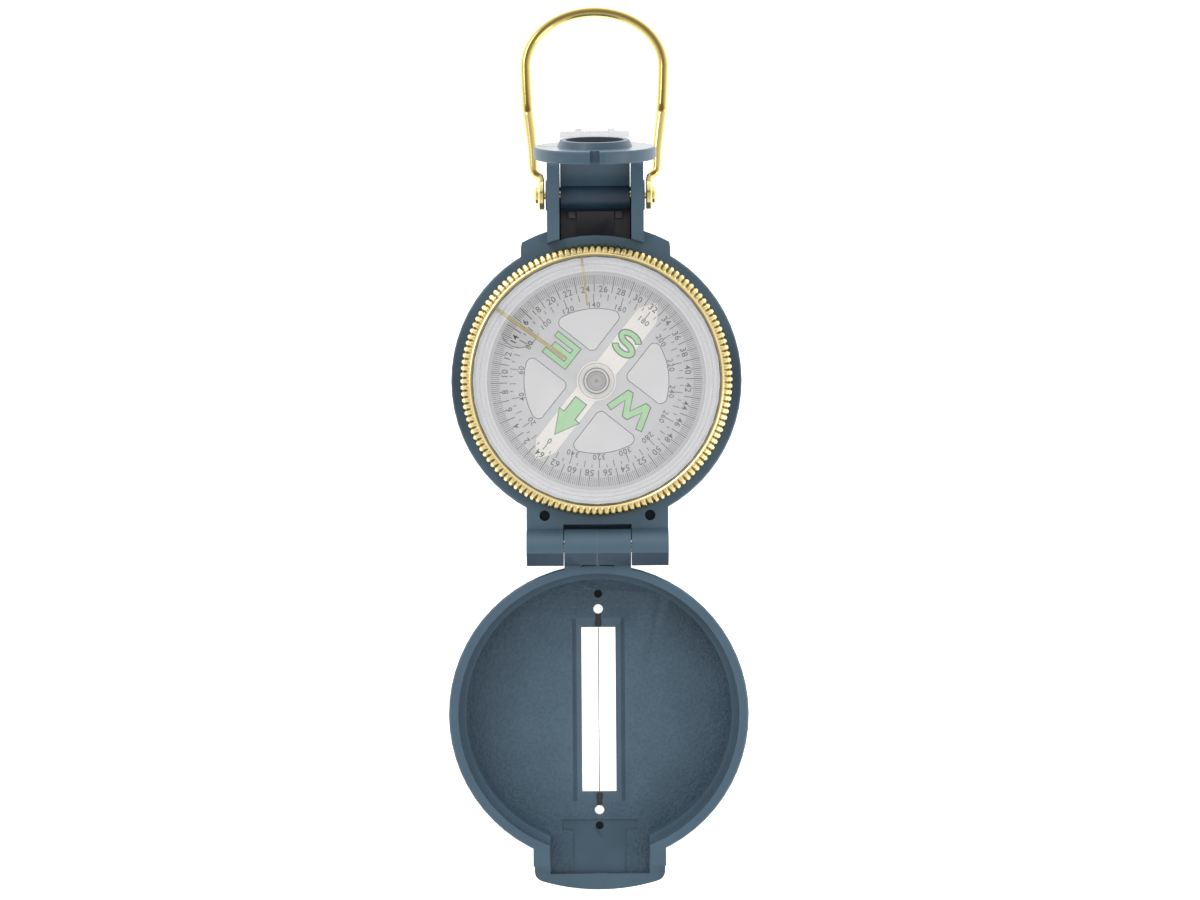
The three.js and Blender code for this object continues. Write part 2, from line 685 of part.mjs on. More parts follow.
function bezelRing() {
  const bottom = CASE_HEIGHT + BEZEL_LIFT;
  const top = CASE_HEIGHT + BEZEL_TOP;
  const crystalBore = CRYSTAL_RADIUS + SIDE_PLAY;
  const section = lathe([
    [BEZEL_BEAD_BORE, bottom],
    [BEZEL_RADIUS, bottom],
    [BEZEL_RADIUS, top - BEZEL_CHAMFER],
    [BEZEL_RADIUS - BEZEL_CHAMFER, top],
    [BEZEL_BORE + BEZEL_LIP_EDGE, top],
    [BEZEL_BORE, top - BEZEL_LIP_EDGE],
    [BEZEL_BORE, top - BEZEL_LIP],
    [crystalBore, top - BEZEL_LIP],
    [crystalBore, CRYSTAL_BOTTOM - SEAT],
    [BEZEL_WALL_BORE, CRYSTAL_BOTTOM - SEAT],
    [BEZEL_WALL_BORE, bottom + BEZEL_BEAD_HEIGHT],
    [BEZEL_BEAD_BORE, bottom + BEZEL_BEAD_HEIGHT],
    [BEZEL_BEAD_BORE, bottom],
  ]);
  const outline = [];
  for (let i = 0; i < KNURL_TEETH; i++) {
    for (const [part, radius] of [[0, BEZEL_RADIUS + KNURL_CREST], [0.5, BEZEL_RADIUS - KNURL_DEPTH]]) {
      const angle = ((i + part) / KNURL_TEETH) * 2 * Math.PI;
      outline.push([radius * Math.cos(angle), radius * Math.sin(angle)]);
    }
  }
  return section.intersect(prism(polygon(outline), bottom - OVERCUT, top + OVERCUT));
}

function bezelWasher() {
  const inner = COLLAR_BORE + COLLAR_WALL + SIDE_PLAY;
  const outer = BEZEL_RADIUS - KNURL_DEPTH;
  return ring(inner, outer, CASE_HEIGHT + SEAT, CASE_HEIGHT + BEZEL_LIFT - SEAT, MIDDLE_FACETS);
}

function crystal() {
  return disc(CRYSTAL_RADIUS, CRYSTAL_BOTTOM, CRYSTAL_TOP, MIDDLE_FACETS);
}

function indexLine(width, inner, bearing) {
  const top = CRYSTAL_BOTTOM - SEAT;
  const line = box(inner, BEZEL_BORE, -width / 2, width / 2, top - INDEX_LINE_THICKNESS, top);
  return line.rotate(0, 0, bearing);
}

// Eyepiece bracket, drawn with its arm along +Y and its disc standing on a neck; X is the pin's axis

function alongY(body) {
  return body.rotate(-90, 0, 0);
}

function eyeDisc() {
  const face = ARM_REACH + DISC_THICKNESS;
  const profile = [
    [0, ARM_REACH],
    [DISC_RADIUS - DISC_EDGE, ARM_REACH],
    [DISC_RADIUS, ARM_REACH + DISC_EDGE],
    [DISC_RADIUS, face - DISC_EDGE],
    [DISC_RADIUS - DISC_EDGE, face],
    [EYE_BOSS_RADIUS, face],
    [EYE_BOSS_RADIUS - EYE_BOSS_EDGE, face + EYE_BOSS_HEIGHT],
    [0, face + EYE_BOSS_HEIGHT],
  ];
  return alongY(lathe(profile, MIDDLE_FACETS)).translate(0, 0, DISC_CENTRE);
}

// The eye hole, with the wider seat for the lens on the dial's side
function eyeHole() {
  const profile = [
    [0, ARM_REACH - OVERCUT],
    [LENS_RADIUS + SEAT, ARM_REACH - OVERCUT],
    [LENS_RADIUS + SEAT, ARM_REACH + LENS_SEAT_DEPTH],
    [EYE_HOLE_RADIUS, ARM_REACH + LENS_SEAT_DEPTH],
    [EYE_HOLE_RADIUS, ARM_REACH + DISC_THICKNESS + EYE_BOSS_HEIGHT + OVERCUT],
    [0, ARM_REACH + DISC_THICKNESS + EYE_BOSS_HEIGHT + OVERCUT],
  ];
  return alongY(lathe(profile, MIDDLE_FACETS)).translate(0, 0, DISC_CENTRE);
}

function sightNotch() {
  const half = NOTCH_WIDTH / 2;
  const rim = DISC_CENTRE + DISC_RADIUS;
  const end = ARM_REACH + DISC_THICKNESS + EYE_BOSS_HEIGHT;
  return box(-half, half, ARM_REACH - OVERCUT, end, rim - NOTCH_DEPTH, rim + OVERCUT);
}

function eyepieceBracket() {
  const armEnd = ARM_REACH + DISC_THICKNESS - DISC_EDGE;
  const neckTop = DISC_CENTRE - DISC_RADIUS + NECK_OVERLAP;
  const arm = box(-ARM_HALF, ARM_HALF, ARM_START, armEnd, ARM_BOTTOM, ARM_TOP);
  const neck = box(-ARM_HALF, ARM_HALF, ARM_REACH, armEnd, ARM_BOTTOM, neckTop);
  const barrel = rod(BARREL_RADIUS, -ARM_HALF, ARM_HALF, 0, 0, MIDDLE_FACETS);
  const pinBore = rod(PIVOT_PIN_RADIUS + RUNNING, -RAIL_SPACING, RAIL_SPACING);
  const blank = eyeDisc().add(neck).add(arm).add(barrel);
  return blank.subtract(eyeHole()).subtract(sightNotch()).subtract(pinBore);
}

function lens() {
  const middle = ARM_REACH + LENS_SEAT_DEPTH - SEAT - LENS_EDGE / 2 - LENS_BULGE;
  const profile = [];
  const bulge = (i) => LENS_EDGE / 2 + LENS_BULGE * (1 - (i / LENS_STEPS) ** 2);
  for (let i = 0; i <= LENS_STEPS; i++) {
    profile.push([(LENS_RADIUS * i) / LENS_STEPS, middle - bulge(i)]);
  }
  for (let i = LENS_STEPS; i >= 0; i--) {
    profile.push([(LENS_RADIUS * i) / LENS_STEPS, middle + bulge(i)]);
  }
  return alongY(lathe(profile, MIDDLE_FACETS)).translate(0, 0, DISC_CENTRE);
}

// Clear plastic clip on the outer face of the neck, below the boss
function lensClip() {
  const inner = ARM_REACH + DISC_THICKNESS + SEAT;
  const bottom = ARM_BOTTOM;
  const half = CLIP_WIDTH / 2;
  const bar = box(-half, half, inner, inner + CLIP_DEPTH, bottom, bottom + CLIP_HEIGHT);
  const bump = box(
    (CLIP_BUMP_SPACING - CLIP_BUMP_WIDTH) / 2,
    (CLIP_BUMP_SPACING + CLIP_BUMP_WIDTH) / 2,
    inner,
    inner + CLIP_DEPTH + CLIP_BUMP_HEIGHT,
    bottom,
    bottom + CLIP_HEIGHT,
  );
  return bar.add(both(bump));
}

// One pin through both bail eyes, the rails and the barrel, with a head at each end
function pivotPin() {
  const inner = EYE_OUTER + CLOSING_GAP;
  const shank = rod(PIVOT_PIN_RADIUS, -inner - SEAT, inner + SEAT);
  const head = lathe(
    [
      [0, inner],
      [PIVOT_HEAD_RADIUS, inner],
      [PIVOT_HEAD_RADIUS, inner + PIVOT_HEAD_HEIGHT / 2],
      [PIVOT_HEAD_RADIUS / 2, inner + PIVOT_HEAD_HEIGHT],
      [0, inner + PIVOT_HEAD_HEIGHT],
    ],
    PIN_FACETS,
  ).rotate(0, 90, 0);
  return shank.add(both(head)).translate(0, PIVOT_DISTANCE, PIVOT_HEIGHT);
}

// Bail, drawn flat with its legs along +Y from the eyes; X is the pin's axis

// The wire's centre line: up one leg from its crimp, round the arch and down the other leg.
class BailArch extends THREE.Curve {
  getPoint(t) {
    const spring = BAIL_REACH - BAIL_WIRE / 2 - BAIL_ARCH_RISE;
    const leg = spring - BAIL_CRIMP_DISTANCE;
    const radius = (BAIL_HALF_WIDTH + BAIL_ARCH_RISE) / 2;
    const length = 2 * leg + Math.PI * radius;
    const side = t < 0.5 ? 1 : -1;
    const along = Math.min(t, 1 - t) * length;
    if (along < leg) {
      const x = BAIL_HALF_WIDTH - BAIL_NARROWING * (1 - along / leg);
      return new THREE.Vector3(side * x, BAIL_CRIMP_DISTANCE + along, 0);
    }
    const angle = (along - leg) / radius;
    const x = BAIL_HALF_WIDTH * Math.cos(angle);
    return new THREE.Vector3(side * x, spring + BAIL_ARCH_RISE * Math.sin(angle), 0);
  }
}

function bailArch() {
  const section = new THREE.Shape();
  section.absarc(0, 0, BAIL_WIRE / 2, 0, 2 * Math.PI);
  return solid(
    new THREE.ExtrudeGeometry(section, {
      steps: BAIL_STEPS,
      curveSegments: BAIL_FACETS / 2,
      bevelEnabled: false,
      extrudePath: new BailArch(),
    }),
  );
}

// The flattened leg below the crimp, its curl in to the eye, and the eye
function bailLeg() {
  const top = BAIL_HALF_WIDTH - BAIL_NARROWING;
  const half = BAIL_WIRE / 2;
  const foot = top - half - BAIL_LEG_INSET;
  const middle = (EYE_INNER + EYE_OUTER) / 2;
  const thin = BAIL_EYE_THICKNESS / 2;
  const crimp = BAIL_CRIMP_DISTANCE + SEAT;
  const strap = prism(
    polygon([
      [top - half, crimp],
      [foot, BAIL_CURL_DISTANCE + BAIL_EYE_THICKNESS],
      [middle - thin, BAIL_CURL_DISTANCE - BAIL_EYE_THICKNESS],
      [middle - thin, 0],
      [middle + thin, 0],
      [middle + thin, BAIL_CURL_DISTANCE - 2 * BAIL_EYE_THICKNESS],
      [foot + 2 * thin, BAIL_CURL_DISTANCE],
      [foot + 2 * thin, BAIL_CURL_DISTANCE + BAIL_WIRE],
      [top + half, crimp],
    ]),
    -BAIL_STRAP_WIDTH / 2,
    BAIL_STRAP_WIDTH / 2,
  );
  return strap
    .add(rod(BAIL_EYE_RADIUS, EYE_INNER, EYE_OUTER))
    .subtract(rod(PIVOT_PIN_RADIUS + RUNNING, EYE_INNER - OVERCUT, EYE_OUTER + OVERCUT));
}

function bail() {
  return bailArch().add(both(bailLeg()));
}

// Cover, drawn round the hinge axis at the origin, open, with its centre at -Y

function coverBowl() {
  const floor = COVER_FLOOR - COVER_HEIGHT;
  return lathe([
    [0, -COVER_HEIGHT],
    [COVER_RADIUS - COVER_DRAFT - COVER_EDGE, -COVER_HEIGHT],
    [COVER_RADIUS - COVER_DRAFT, COVER_EDGE - COVER_HEIGHT],
    [COVER_RADIUS, -COVER_RIM_EDGE],
    [COVER_RADIUS - COVER_RIM_EDGE, 0],
    [COVER_RIM_BORE, 0],
    [COVER_RIM_BORE, -COVER_RIM_DEPTH],
    [COVER_BORE, -COVER_RIM_DEPTH],
    [COVER_BORE, floor],
    [0, floor],
  ]);
}

function tongue() {
  const half = TONGUE_WIDTH / 2;
  const rise = TONGUE_END - TONGUE_SIDE;
  const radius = (half ** 2 + rise ** 2) / (2 * rise);
  const centre = -TONGUE_END + radius;
  const start = half - TONGUE_CORNER;
  const turn = Math.asin(start / radius);
  const outline = new THREE.Shape();
  outline.moveTo(half, 0);
  outline.lineTo(-half, 0);
  outline.lineTo(-half, TONGUE_CORNER - TONGUE_SIDE);
  outline.quadraticCurveTo(-half, -TONGUE_SIDE, -start, centre - radius * Math.cos(turn));
  outline.absarc(0, centre, radius, -Math.PI / 2 - turn, -Math.PI / 2 + turn);
  outline.quadraticCurveTo(half, -TONGUE_SIDE, half, TONGUE_CORNER - TONGUE_SIDE);
  const rim = disc(COVER_RIM_BORE, -COVER_RIM_DEPTH, OVERCUT);
  const bowl = disc((COVER_BORE + COVER_RIM_BORE) / 2, -COVER_HEIGHT - OVERCUT, OVERCUT);
  return prism(outline, -COVER_HEIGHT, 0).subtract(rim).subtract(bowl);
}

function pocket() {
  const half = POCKET_WIDTH / 2;
  const floor = COVER_FLOOR - COVER_HEIGHT;
  const wide = TONGUE_WIDTH;
  const lowEnd = box(-wide, wide, -TONGUE_END - OVERCUT, -TONGUE_WALL_END, floor + LIP_HEIGHT, OVERCUT);
  return box(-half, half, -POCKET_END, -COVER_BORE / 2, floor, OVERCUT).add(lowEnd);
}

function catchNub() {
  const floor = COVER_FLOOR - COVER_HEIGHT;
  return post(NUB_RADIUS, 0, -POCKET_END, floor - SEAT, floor + LIP_HEIGHT);
}

// The sighting slot with its bevelled recess
function sightSlot() {
  const halfWidth = SLOT_WIDTH / 2;
  const halfLength = SLOT_LENGTH / 2;
  const floor = COVER_FLOOR - COVER_HEIGHT;
  const slot = box(-halfWidth, halfWidth, -halfLength, halfLength, -COVER_HEIGHT - OVERCUT, 0);
  const wide = new THREE.BoxGeometry(1, 1, SLOT_BEVEL_DEPTH);
  const corners = wide.attributes.position;
  for (let i = 0; i < corners.count; i++) {
    const out = corners.getZ(i) > 0 ? SLOT_BEVEL : 0;
    corners.setX(i, Math.sign(corners.getX(i)) * (halfWidth + out));
    corners.setY(i, Math.sign(corners.getY(i)) * (halfLength + out));
  }
  return slot.add(solid(wide.translate(0, 0, floor + SEAT - SLOT_BEVEL_DEPTH / 2)));
}

function coverHoles() {
  const floor = COVER_FLOOR - COVER_HEIGHT;
  const half = ANCHOR_WIDTH / 2 + SEAT;
  let cuts = box(-half, half, -SIGHT_HOLE_DISTANCE, SIGHT_HOLE_DISTANCE, floor - ANCHOR_DEPTH - SEAT, 0);
  for (const side of [-1, 1]) {
    cuts = cuts
      .add(post(SIGHT_HOLE_RADIUS, 0, side * SIGHT_HOLE_DISTANCE, -COVER_HEIGHT - OVERCUT, 0))
      .add(post(DOT_HOLE_RADIUS, 0, side * DOT_HOLE_DISTANCE, floor - DOT_HOLE_DEPTH, 0));
  }
  return cuts;
}

// The smooth T-shaped relief between the slot and the tongue
function padRelief() {
  const bottom = COVER_FLOOR - COVER_HEIGHT - PAD_DEPTH;
  const barHalf = PAD_BAR_WIDTH / 2;
  const stemHalf = PAD_STEM_WIDTH / 2;
  const bar = box(-barHalf, barHalf, -PAD_BAR_DISTANCE - PAD_BAR_DEPTH, -PAD_BAR_DISTANCE, bottom, 0);
  return bar.add(box(-stemHalf, stemHalf, SEAT - POCKET_END, -PAD_BAR_DISTANCE, bottom, 0));
}

function coverKnuckle() {
  const half = COVER_KNUCKLE_WIDTH / 2;
  const web = box(-half, half, COVER_RIM_BORE - HINGE_DISTANCE, 0, -KNUCKLE_RADIUS, -CLOSING_GAP);
  const slitStart = KNUCKLE_RADIUS - SLIT_WIDTH / 2;
  const slit = box(
    SLIT_WEB / 2,
    SLIT_WEB / 2 + SLIT_LENGTH,
    -slitStart - SLIT_WIDTH,
    -slitStart,
    -2 * KNUCKLE_RADIUS,
    2 * KNUCKLE_RADIUS,
  );
  const bore = rod(HINGE_PIN_RADIUS + RUNNING, -HINGE_WIDTH, HINGE_WIDTH);
  return knuckle(-half, half).add(web).subtract(both(slit)).subtract(bore);
}

function coverBody() {
  return coverBowl()
    .add(tongue())
    .subtract(pocket())
    .add(catchNub())
    .subtract(sightSlot())
    .subtract(coverHoles())
    .subtract(padRelief())
    .translate(0, -HINGE_DISTANCE, -CLOSING_GAP)
    .add(coverKnuckle());
}

function hingePin() {
  const half = HINGE_WIDTH / 2 - HINGE_PIN_INSET;
  return rod(HINGE_PIN_RADIUS, -half, half, -HINGE_DISTANCE, CASE_HEIGHT);
}

function wireHeight() {
  return COVER_FLOOR - COVER_HEIGHT - CLOSING_GAP - ANCHOR_DEPTH / 2;
}

function hairWire() {
  const length = SLOT_LENGTH - 2 * SEAT;
  const wire = solid(new THREE.CylinderGeometry(WIRE_RADIUS, WIRE_RADIUS, length, THIN_FACETS));
  return wire.translate(0, -HINGE_DISTANCE, wireHeight());
}

function wireAnchor(side) {
  const half = ANCHOR_WIDTH / 2;
  const start = SLOT_LENGTH / 2 + SEAT;
  const end = SIGHT_HOLE_DISTANCE - SIGHT_HOLE_RADIUS;
  const height = wireHeight();
  const y0 = -HINGE_DISTANCE + (side > 0 ? start : -end);
  return box(-half, half, y0, y0 + end - start, height - ANCHOR_DEPTH / 2, height + ANCHOR_DEPTH / 2);
}

function glowDot(side) {
  const bottom = COVER_FLOOR - COVER_HEIGHT - CLOSING_GAP - DOT_HOLE_DEPTH + SEAT;
  const y = side * DOT_HOLE_DISTANCE - HINGE_DISTANCE;
  return post(DOT_HOLE_RADIUS - SEAT, 0, y, bottom, bottom + DOT_HEIGHT);
}

// Assembly: nested groups put each moving body on its axis, as it lies in the photograph

const compass = new THREE.Group();

place(compass, "case_body", caseBody(), BLUE_PLASTIC);
place(compass, "rail_spring_insert", springInsert(), BLACK_PLASTIC);
place(compass, "capsule_cup", capsuleCup(), CAPSULE_WHITE);
place(compass, "capsule_lid", capsuleLid(), CLEAR);
place(compass, "capsule_seal", capsuleSeal(), SEAL_WHITE);
place(compass, "dial_post", pivotPost(), STEEL);
place(compass, "cover_hinge_pin", hingePin(), STEEL);
place(compass, "eyepiece_pin", pivotPin(), BRASS);
place(compass, "bezel_washer", bezelWasher(), STEEL);

const dialGroup = new THREE.Group();
dialGroup.rotation.z = radians(DIAL_BEARING - 90);
place(dialGroup, "dial_card", dialCard(), CARD);
place(dialGroup, "dial_magnet", barMagnet(), MAGNET_WHITE);
place(dialGroup, "dial_cap", dialCap(), CAP_GREY);
place(dialGroup, "dial_jewel", jewel(), SAPPHIRE);
compass.add(dialGroup);

const bezelGroup = new THREE.Group();
bezelGroup.rotation.z = radians(INDEX_BEARING);
place(bezelGroup, "bezel_ring", bezelRing(), BRASS);
place(bezelGroup, "bezel_crystal", crystal(), CLEAR);
place(bezelGroup, "index_line_long", indexLine(INDEX_LINE_WIDTH, INDEX_LINE_INNER, 0), GOLD_PAINT);
const secondLine = indexLine(SECOND_LINE_WIDTH, SECOND_LINE_INNER, SECOND_LINE_ANGLE);
place(bezelGroup, "index_line_second", secondLine, GOLD_PAINT);
compass.add(bezelGroup);

const eyepieceGroup = new THREE.Group();
eyepieceGroup.position.set(0, PIVOT_DISTANCE, PIVOT_HEIGHT);
eyepieceGroup.rotation.x = radians(EYEPIECE_LEAN);
place(eyepieceGroup, "eyepiece_bracket", eyepieceBracket(), BLUE_PLASTIC);
place(eyepieceGroup, "eyepiece_lens", lens(), CLEAR);
place(eyepieceGroup, "eyepiece_clip", lensClip(), CLEAR);
compass.add(eyepieceGroup);

const bailGroup = new THREE.Group();
bailGroup.position.set(0, PIVOT_DISTANCE, PIVOT_HEIGHT);
const bailDrop = PIVOT_HEIGHT - BAIL_WIRE / 2 - TABLE_GAP;
bailGroup.rotation.x = -Math.asin(bailDrop / (BAIL_REACH - BAIL_WIRE / 2));
place(bailGroup, "bail", bail(), BRASS);
compass.add(bailGroup);

const coverGroup = new THREE.Group();
coverGroup.position.set(0, -HINGE_DISTANCE, CASE_HEIGHT);
place(coverGroup, "cover_body", coverBody(), BLUE_PLASTIC);
place(coverGroup, "hair_wire", hairWire(), STEEL);
place(coverGroup, "wire_anchor_hinge_end", wireAnchor(1), BLACK_PLASTIC);
place(coverGroup, "wire_anchor_tongue_end", wireAnchor(-1), BLACK_PLASTIC);
place(coverGroup, "glow_dot_hinge_end", glowDot(1), GLOW_PAINT);
place(coverGroup, "glow_dot_tongue_end", glowDot(-1), GLOW_PAINT);
compass.add(coverGroup);

export default compass;
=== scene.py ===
"""A folding lensatic compass, lying open on a pale table and seen from straight above."""

import math

import bmesh
import bpy
from mathutils import Matrix, Vector


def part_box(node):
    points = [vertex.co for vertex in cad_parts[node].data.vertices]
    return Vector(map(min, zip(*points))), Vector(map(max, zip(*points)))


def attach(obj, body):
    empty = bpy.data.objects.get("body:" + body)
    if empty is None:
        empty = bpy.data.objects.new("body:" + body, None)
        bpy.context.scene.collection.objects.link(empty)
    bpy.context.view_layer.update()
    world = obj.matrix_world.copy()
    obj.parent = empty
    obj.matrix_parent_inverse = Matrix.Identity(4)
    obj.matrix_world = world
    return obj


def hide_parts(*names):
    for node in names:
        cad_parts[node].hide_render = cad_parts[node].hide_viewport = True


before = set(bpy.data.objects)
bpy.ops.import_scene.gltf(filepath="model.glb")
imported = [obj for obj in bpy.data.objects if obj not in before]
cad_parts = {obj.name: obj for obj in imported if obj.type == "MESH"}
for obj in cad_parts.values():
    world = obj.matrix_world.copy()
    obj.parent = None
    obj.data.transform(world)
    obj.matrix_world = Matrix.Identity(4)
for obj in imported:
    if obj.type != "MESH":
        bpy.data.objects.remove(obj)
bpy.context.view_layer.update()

MM = 0.001


# Camera
# It looks straight down from 0.6 m above the rim of the case, over a point a little below
# the dial, and is turned by under half a degree, as the photograph is.
camera_data = bpy.data.cameras.new("camera")
camera_data.sensor_width = 36
camera_data.lens = 94.45
camera = bpy.data.objects.new("camera", camera_data)
bpy.context.scene.collection.objects.link(camera)
camera.location = (0.58 * MM, -13.25 * MM, 612.5 * MM)
camera.rotation_euler = (0, 0, math.radians(-0.41))
bpy.context.scene.camera = camera
bpy.context.scene.view_settings.view_transform = "Standard"


# Shaders
# A Finish is one procedural material. Its node method adds any node, and a Value is an
# output of a node, which Python's own operators turn into Math nodes.
class Value:
    def __init__(self, finish, socket):
        self.finish = finish
        self.socket = socket

    def math(self, operation, *others):
        return self.finish.node("Math", {"operation": operation}, self, *others)

    def __add__(self, other):
        return self.math("ADD", other)

    def __mul__(self, other):
        return self.math("MULTIPLY", other)

    def __sub__(self, other):
        return self.math("SUBTRACT", other)

    def __rsub__(self, other):
        return self.finish.node("Math", {"operation": "SUBTRACT"}, other, self)

    def __lt__(self, other):
        return self.math("LESS_THAN", other)

    def __abs__(self):
        return self.math("ABSOLUTE")

    __radd__ = __add__
    __rmul__ = __mul__


class Finish:
    def __init__(self, name, color, roughness, **settings):
        self.material = bpy.data.materials.new(name)
        self.material.use_nodes = True
        self.tree = self.material.node_tree
        self.shader = self.tree.nodes["Principled BSDF"]
        self.set("Base Color", (*color, 1))
        self.set("Roughness", roughness)
        for socket, value in settings.items():
            self.set(socket.replace("_", " "), value)

    def feed(self, socket, value):
        if isinstance(value, Value):
            self.tree.links.new(value.socket, socket)
        elif value is not None:
            socket.default_value = value

    def set(self, socket, value):
        self.feed(self.shader.inputs[socket], value)

    def node(self, kind, settings, *values, output=0):
        made = self.tree.nodes.new("ShaderNode" + kind)
        for name, value in settings.items():
            setattr(made, name, value)
        for socket, value in zip(made.inputs, values):
            self.feed(socket, value)
        return Value(self, made.outputs[output])

    def place(self):
        return self.node("TexCoord", {}, output=3)

    def axes(self):
        """The X, Y and Z of a point, in metres."""
        place = self.place()
        return [self.node("SeparateXYZ", {}, place, output=i) for i in range(3)]

    def noise(self, size, detail=2.0, roughness=0.5):
        """A soft random value whose patches are about size metres across."""
        return self.node("TexNoise", {}, self.place(), None, 1 / size, detail, roughness)

    def blend(self, factor, first, second):
        """A colour between two others, which sets the base colour too."""
        ends = [end if isinstance(end, Value) else (*end, 1) for end in (first, second)]
        mixed = self.node("Mix", {"data_type": "RGBA"}, factor, *[None] * 5, *ends, output=2)
        self.set("Base Color", mixed)
        return mixed

    def bump(self, height, distance, rounding=None):
        """Relief from a height, over edges that look rounded by a small radius."""
        normal = self.node("Bevel", {"samples": 4}, rounding) if rounding else None
        self.set("Normal", self.node("Bump", {}, 1.0, distance, 0.5, height, normal))


# Table and light
# A pale glowing table, as catalogue photographs have, under a white tent. The tent is
# bright low down and grey overhead, which gives the brass its darker middle line.
table_mesh = bpy.data.meshes.new("table")
table_mesh.from_pydata([(-2, -2, 0), (2, -2, 0), (2, 2, 0), (-2, 2, 0)], [], [(0, 1, 2, 3)])
table = bpy.data.objects.new("table", table_mesh)
table.location.z = -0.02 * MM
bpy.context.scene.collection.objects.link(table)
WHITE = (1, 1, 1, 1)
table_finish = Finish(
    "table_white", (0.9, 0.9, 0.9), 0.9, Emission_Color=WHITE, Emission_Strength=0.85)
table_mesh.materials.append(table_finish.material)

world = bpy.data.worlds.new("tent")
bpy.context.scene.world = world
world.use_nodes = True
tent = world.node_tree
direction = tent.nodes.new("ShaderNodeTexCoord")
parts = tent.nodes.new("ShaderNodeSeparateXYZ")
ramp = tent.nodes.new("ShaderNodeValToRGB")
ramp.color_ramp.elements.new(0.6)
for element, place, level in zip(ramp.color_ramp.elements, (0.0, 0.55, 1.0), (1.3, 1.2, 0.75)):
    element.position = place
    element.color = (level, level, level, 1)
tent.links.new(direction.outputs["Generated"], parts.inputs[0])
tent.links.new(parts.outputs["Z"], ramp.inputs["Fac"])
tent.links.new(ramp.outputs["Color"], tent.nodes["Background"].inputs["Color"])


def soft_light(name, place, size, watts):
    data = bpy.data.lights.new(name, "AREA")
    data.shape = "DISK"
    data.size = size
    data.energy = watts
    lamp = bpy.data.objects.new(name, data)
    lamp.location = place
    lamp.rotation_euler = (-Vector(place)).to_track_quat("-Z", "Y").to_euler()
    bpy.context.scene.collection.objects.link(lamp)


soft_light("window_light", (-0.55, 0.75, 0.75), 0.5, 4.0)
soft_light("fill_light", (0.8, -0.3, 0.6), 0.5, 2.0)


# Case, hinge block and rails
# One moulding of matt blue-grey plastic: a bowl with a flat rim, the knuckles of the
# cover's hinge in front, and behind it a shoulder with the two rails for the eyepiece.
def blue_plastic(name, shading=None, grain_size=0.35 * MM, grain_depth=0.012 * MM, speckle=0.1):
    """The plastic, with a shading that turns the X, Y and Z of a point into 0 to 1 of darkness."""
    finish = Finish(name, (0.06, 0.1, 0.14), 0.4)
    grain = finish.noise(grain_size, 2.0, 0.6)
    dark = 0.4 * finish.noise(6 * MM, 3.0) + speckle * (grain - 0.5)
    if shading:
        dark = dark + shading(*finish.axes())
    finish.blend(dark, (0.056, 0.104, 0.145), (0.01, 0.032, 0.058))
    finish.set("Roughness", 0.34 + 0.16 * grain)
    finish.bump(grain, grain_depth, 0.2 * MM)
    return finish.material


def linked(name, data):
    piece = bpy.data.objects.new(name, data)
    bpy.context.scene.collection.objects.link(piece)
    return piece


def fitted(name, mesh, material, body, node=None):
    """A mesh of one material as a piece on a body, in place of a CAD node if one is named."""
    mesh.materials.clear()
    mesh.materials.append(material)
    piece = linked(name, mesh)
    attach(piece, body)
    if node:
        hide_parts(node)
    return piece


def smooth(mesh, sharp_above=25):
    """Round faces shaded smooth, and edges above an angle in degrees left sharp."""
    mesh.shade_smooth()
    mesh.set_sharp_from_angle(angle=math.radians(sharp_above))
    return mesh


MERGE_DISTANCE = 0.002 * MM


def dressed(node, material, body, sharp_above=20):
    """A copy of a CAD solid with its triangles merged into faces and its round faces smooth."""
    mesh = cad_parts[node].data.copy()
    shell = bmesh.new()
    shell.from_mesh(mesh)
    bmesh.ops.remove_doubles(shell, verts=shell.verts, dist=MERGE_DISTANCE)
    flat = math.radians(0.4)
    bmesh.ops.dissolve_limit(shell, angle_limit=flat, verts=shell.verts, edges=shell.edges)
    shell.to_mesh(mesh)
    shell.free()
    return fitted(node + "_dressed", smooth(mesh, sharp_above), material, body, node)


HINGE_FACET_Y = -32.8 * MM


def case_shading(x, y, z):
    """Painted shade on the front facets of the knuckles, and the rim darker at its left and right.
    """
    sides = (abs(x) - 0.4 * abs(y) - 17 * MM).math("MAXIMUM", 0.0)
    on_rim = 1 - (z < 12.3 * MM)
    return 0.8 * (y < HINGE_FACET_Y) + 60 * sides * on_rim


case_plastic = blue_plastic("case_plastic", case_shading)
dressed("case_body", case_plastic, "case")


# Insert between the rails
# A black moulding that lies on the floor of the bay between the rails. Its bent leaf presses
# on the eyepiece's barrel and holds it, and two small posts stand beside the leaf.
insert_finish = Finish("black_plastic", (0.045, 0.04, 0.048), 0.32)
insert_finish.bump(insert_finish.noise(0.3 * MM), 0.01 * MM, 0.15 * MM)
insert = dressed("rail_spring_insert", insert_finish.material, "case")
# The upward tops of the posts are paler and bluer: partly the posts' own blue-grey, partly a
# painted highlight where they stand up into the light. The sloping faces of the leaf are a little
# paler.
insert.data.materials.append(Finish("insert_posts", (0.1, 0.1, 0.135), 0.3).material)
insert.data.materials.append(Finish("insert_leaf", (0.06, 0.054, 0.066), 0.3).material)
LIT_POST_TOPS, LEAF = 1, 2
for face in insert.data.polygons:
    if face.center.z > 4.4 * MM and face.normal.z > 0.99:
        face.material_index = LIT_POST_TOPS
    elif 0.9 < face.normal.z < 0.99:
        face.material_index = LEAF
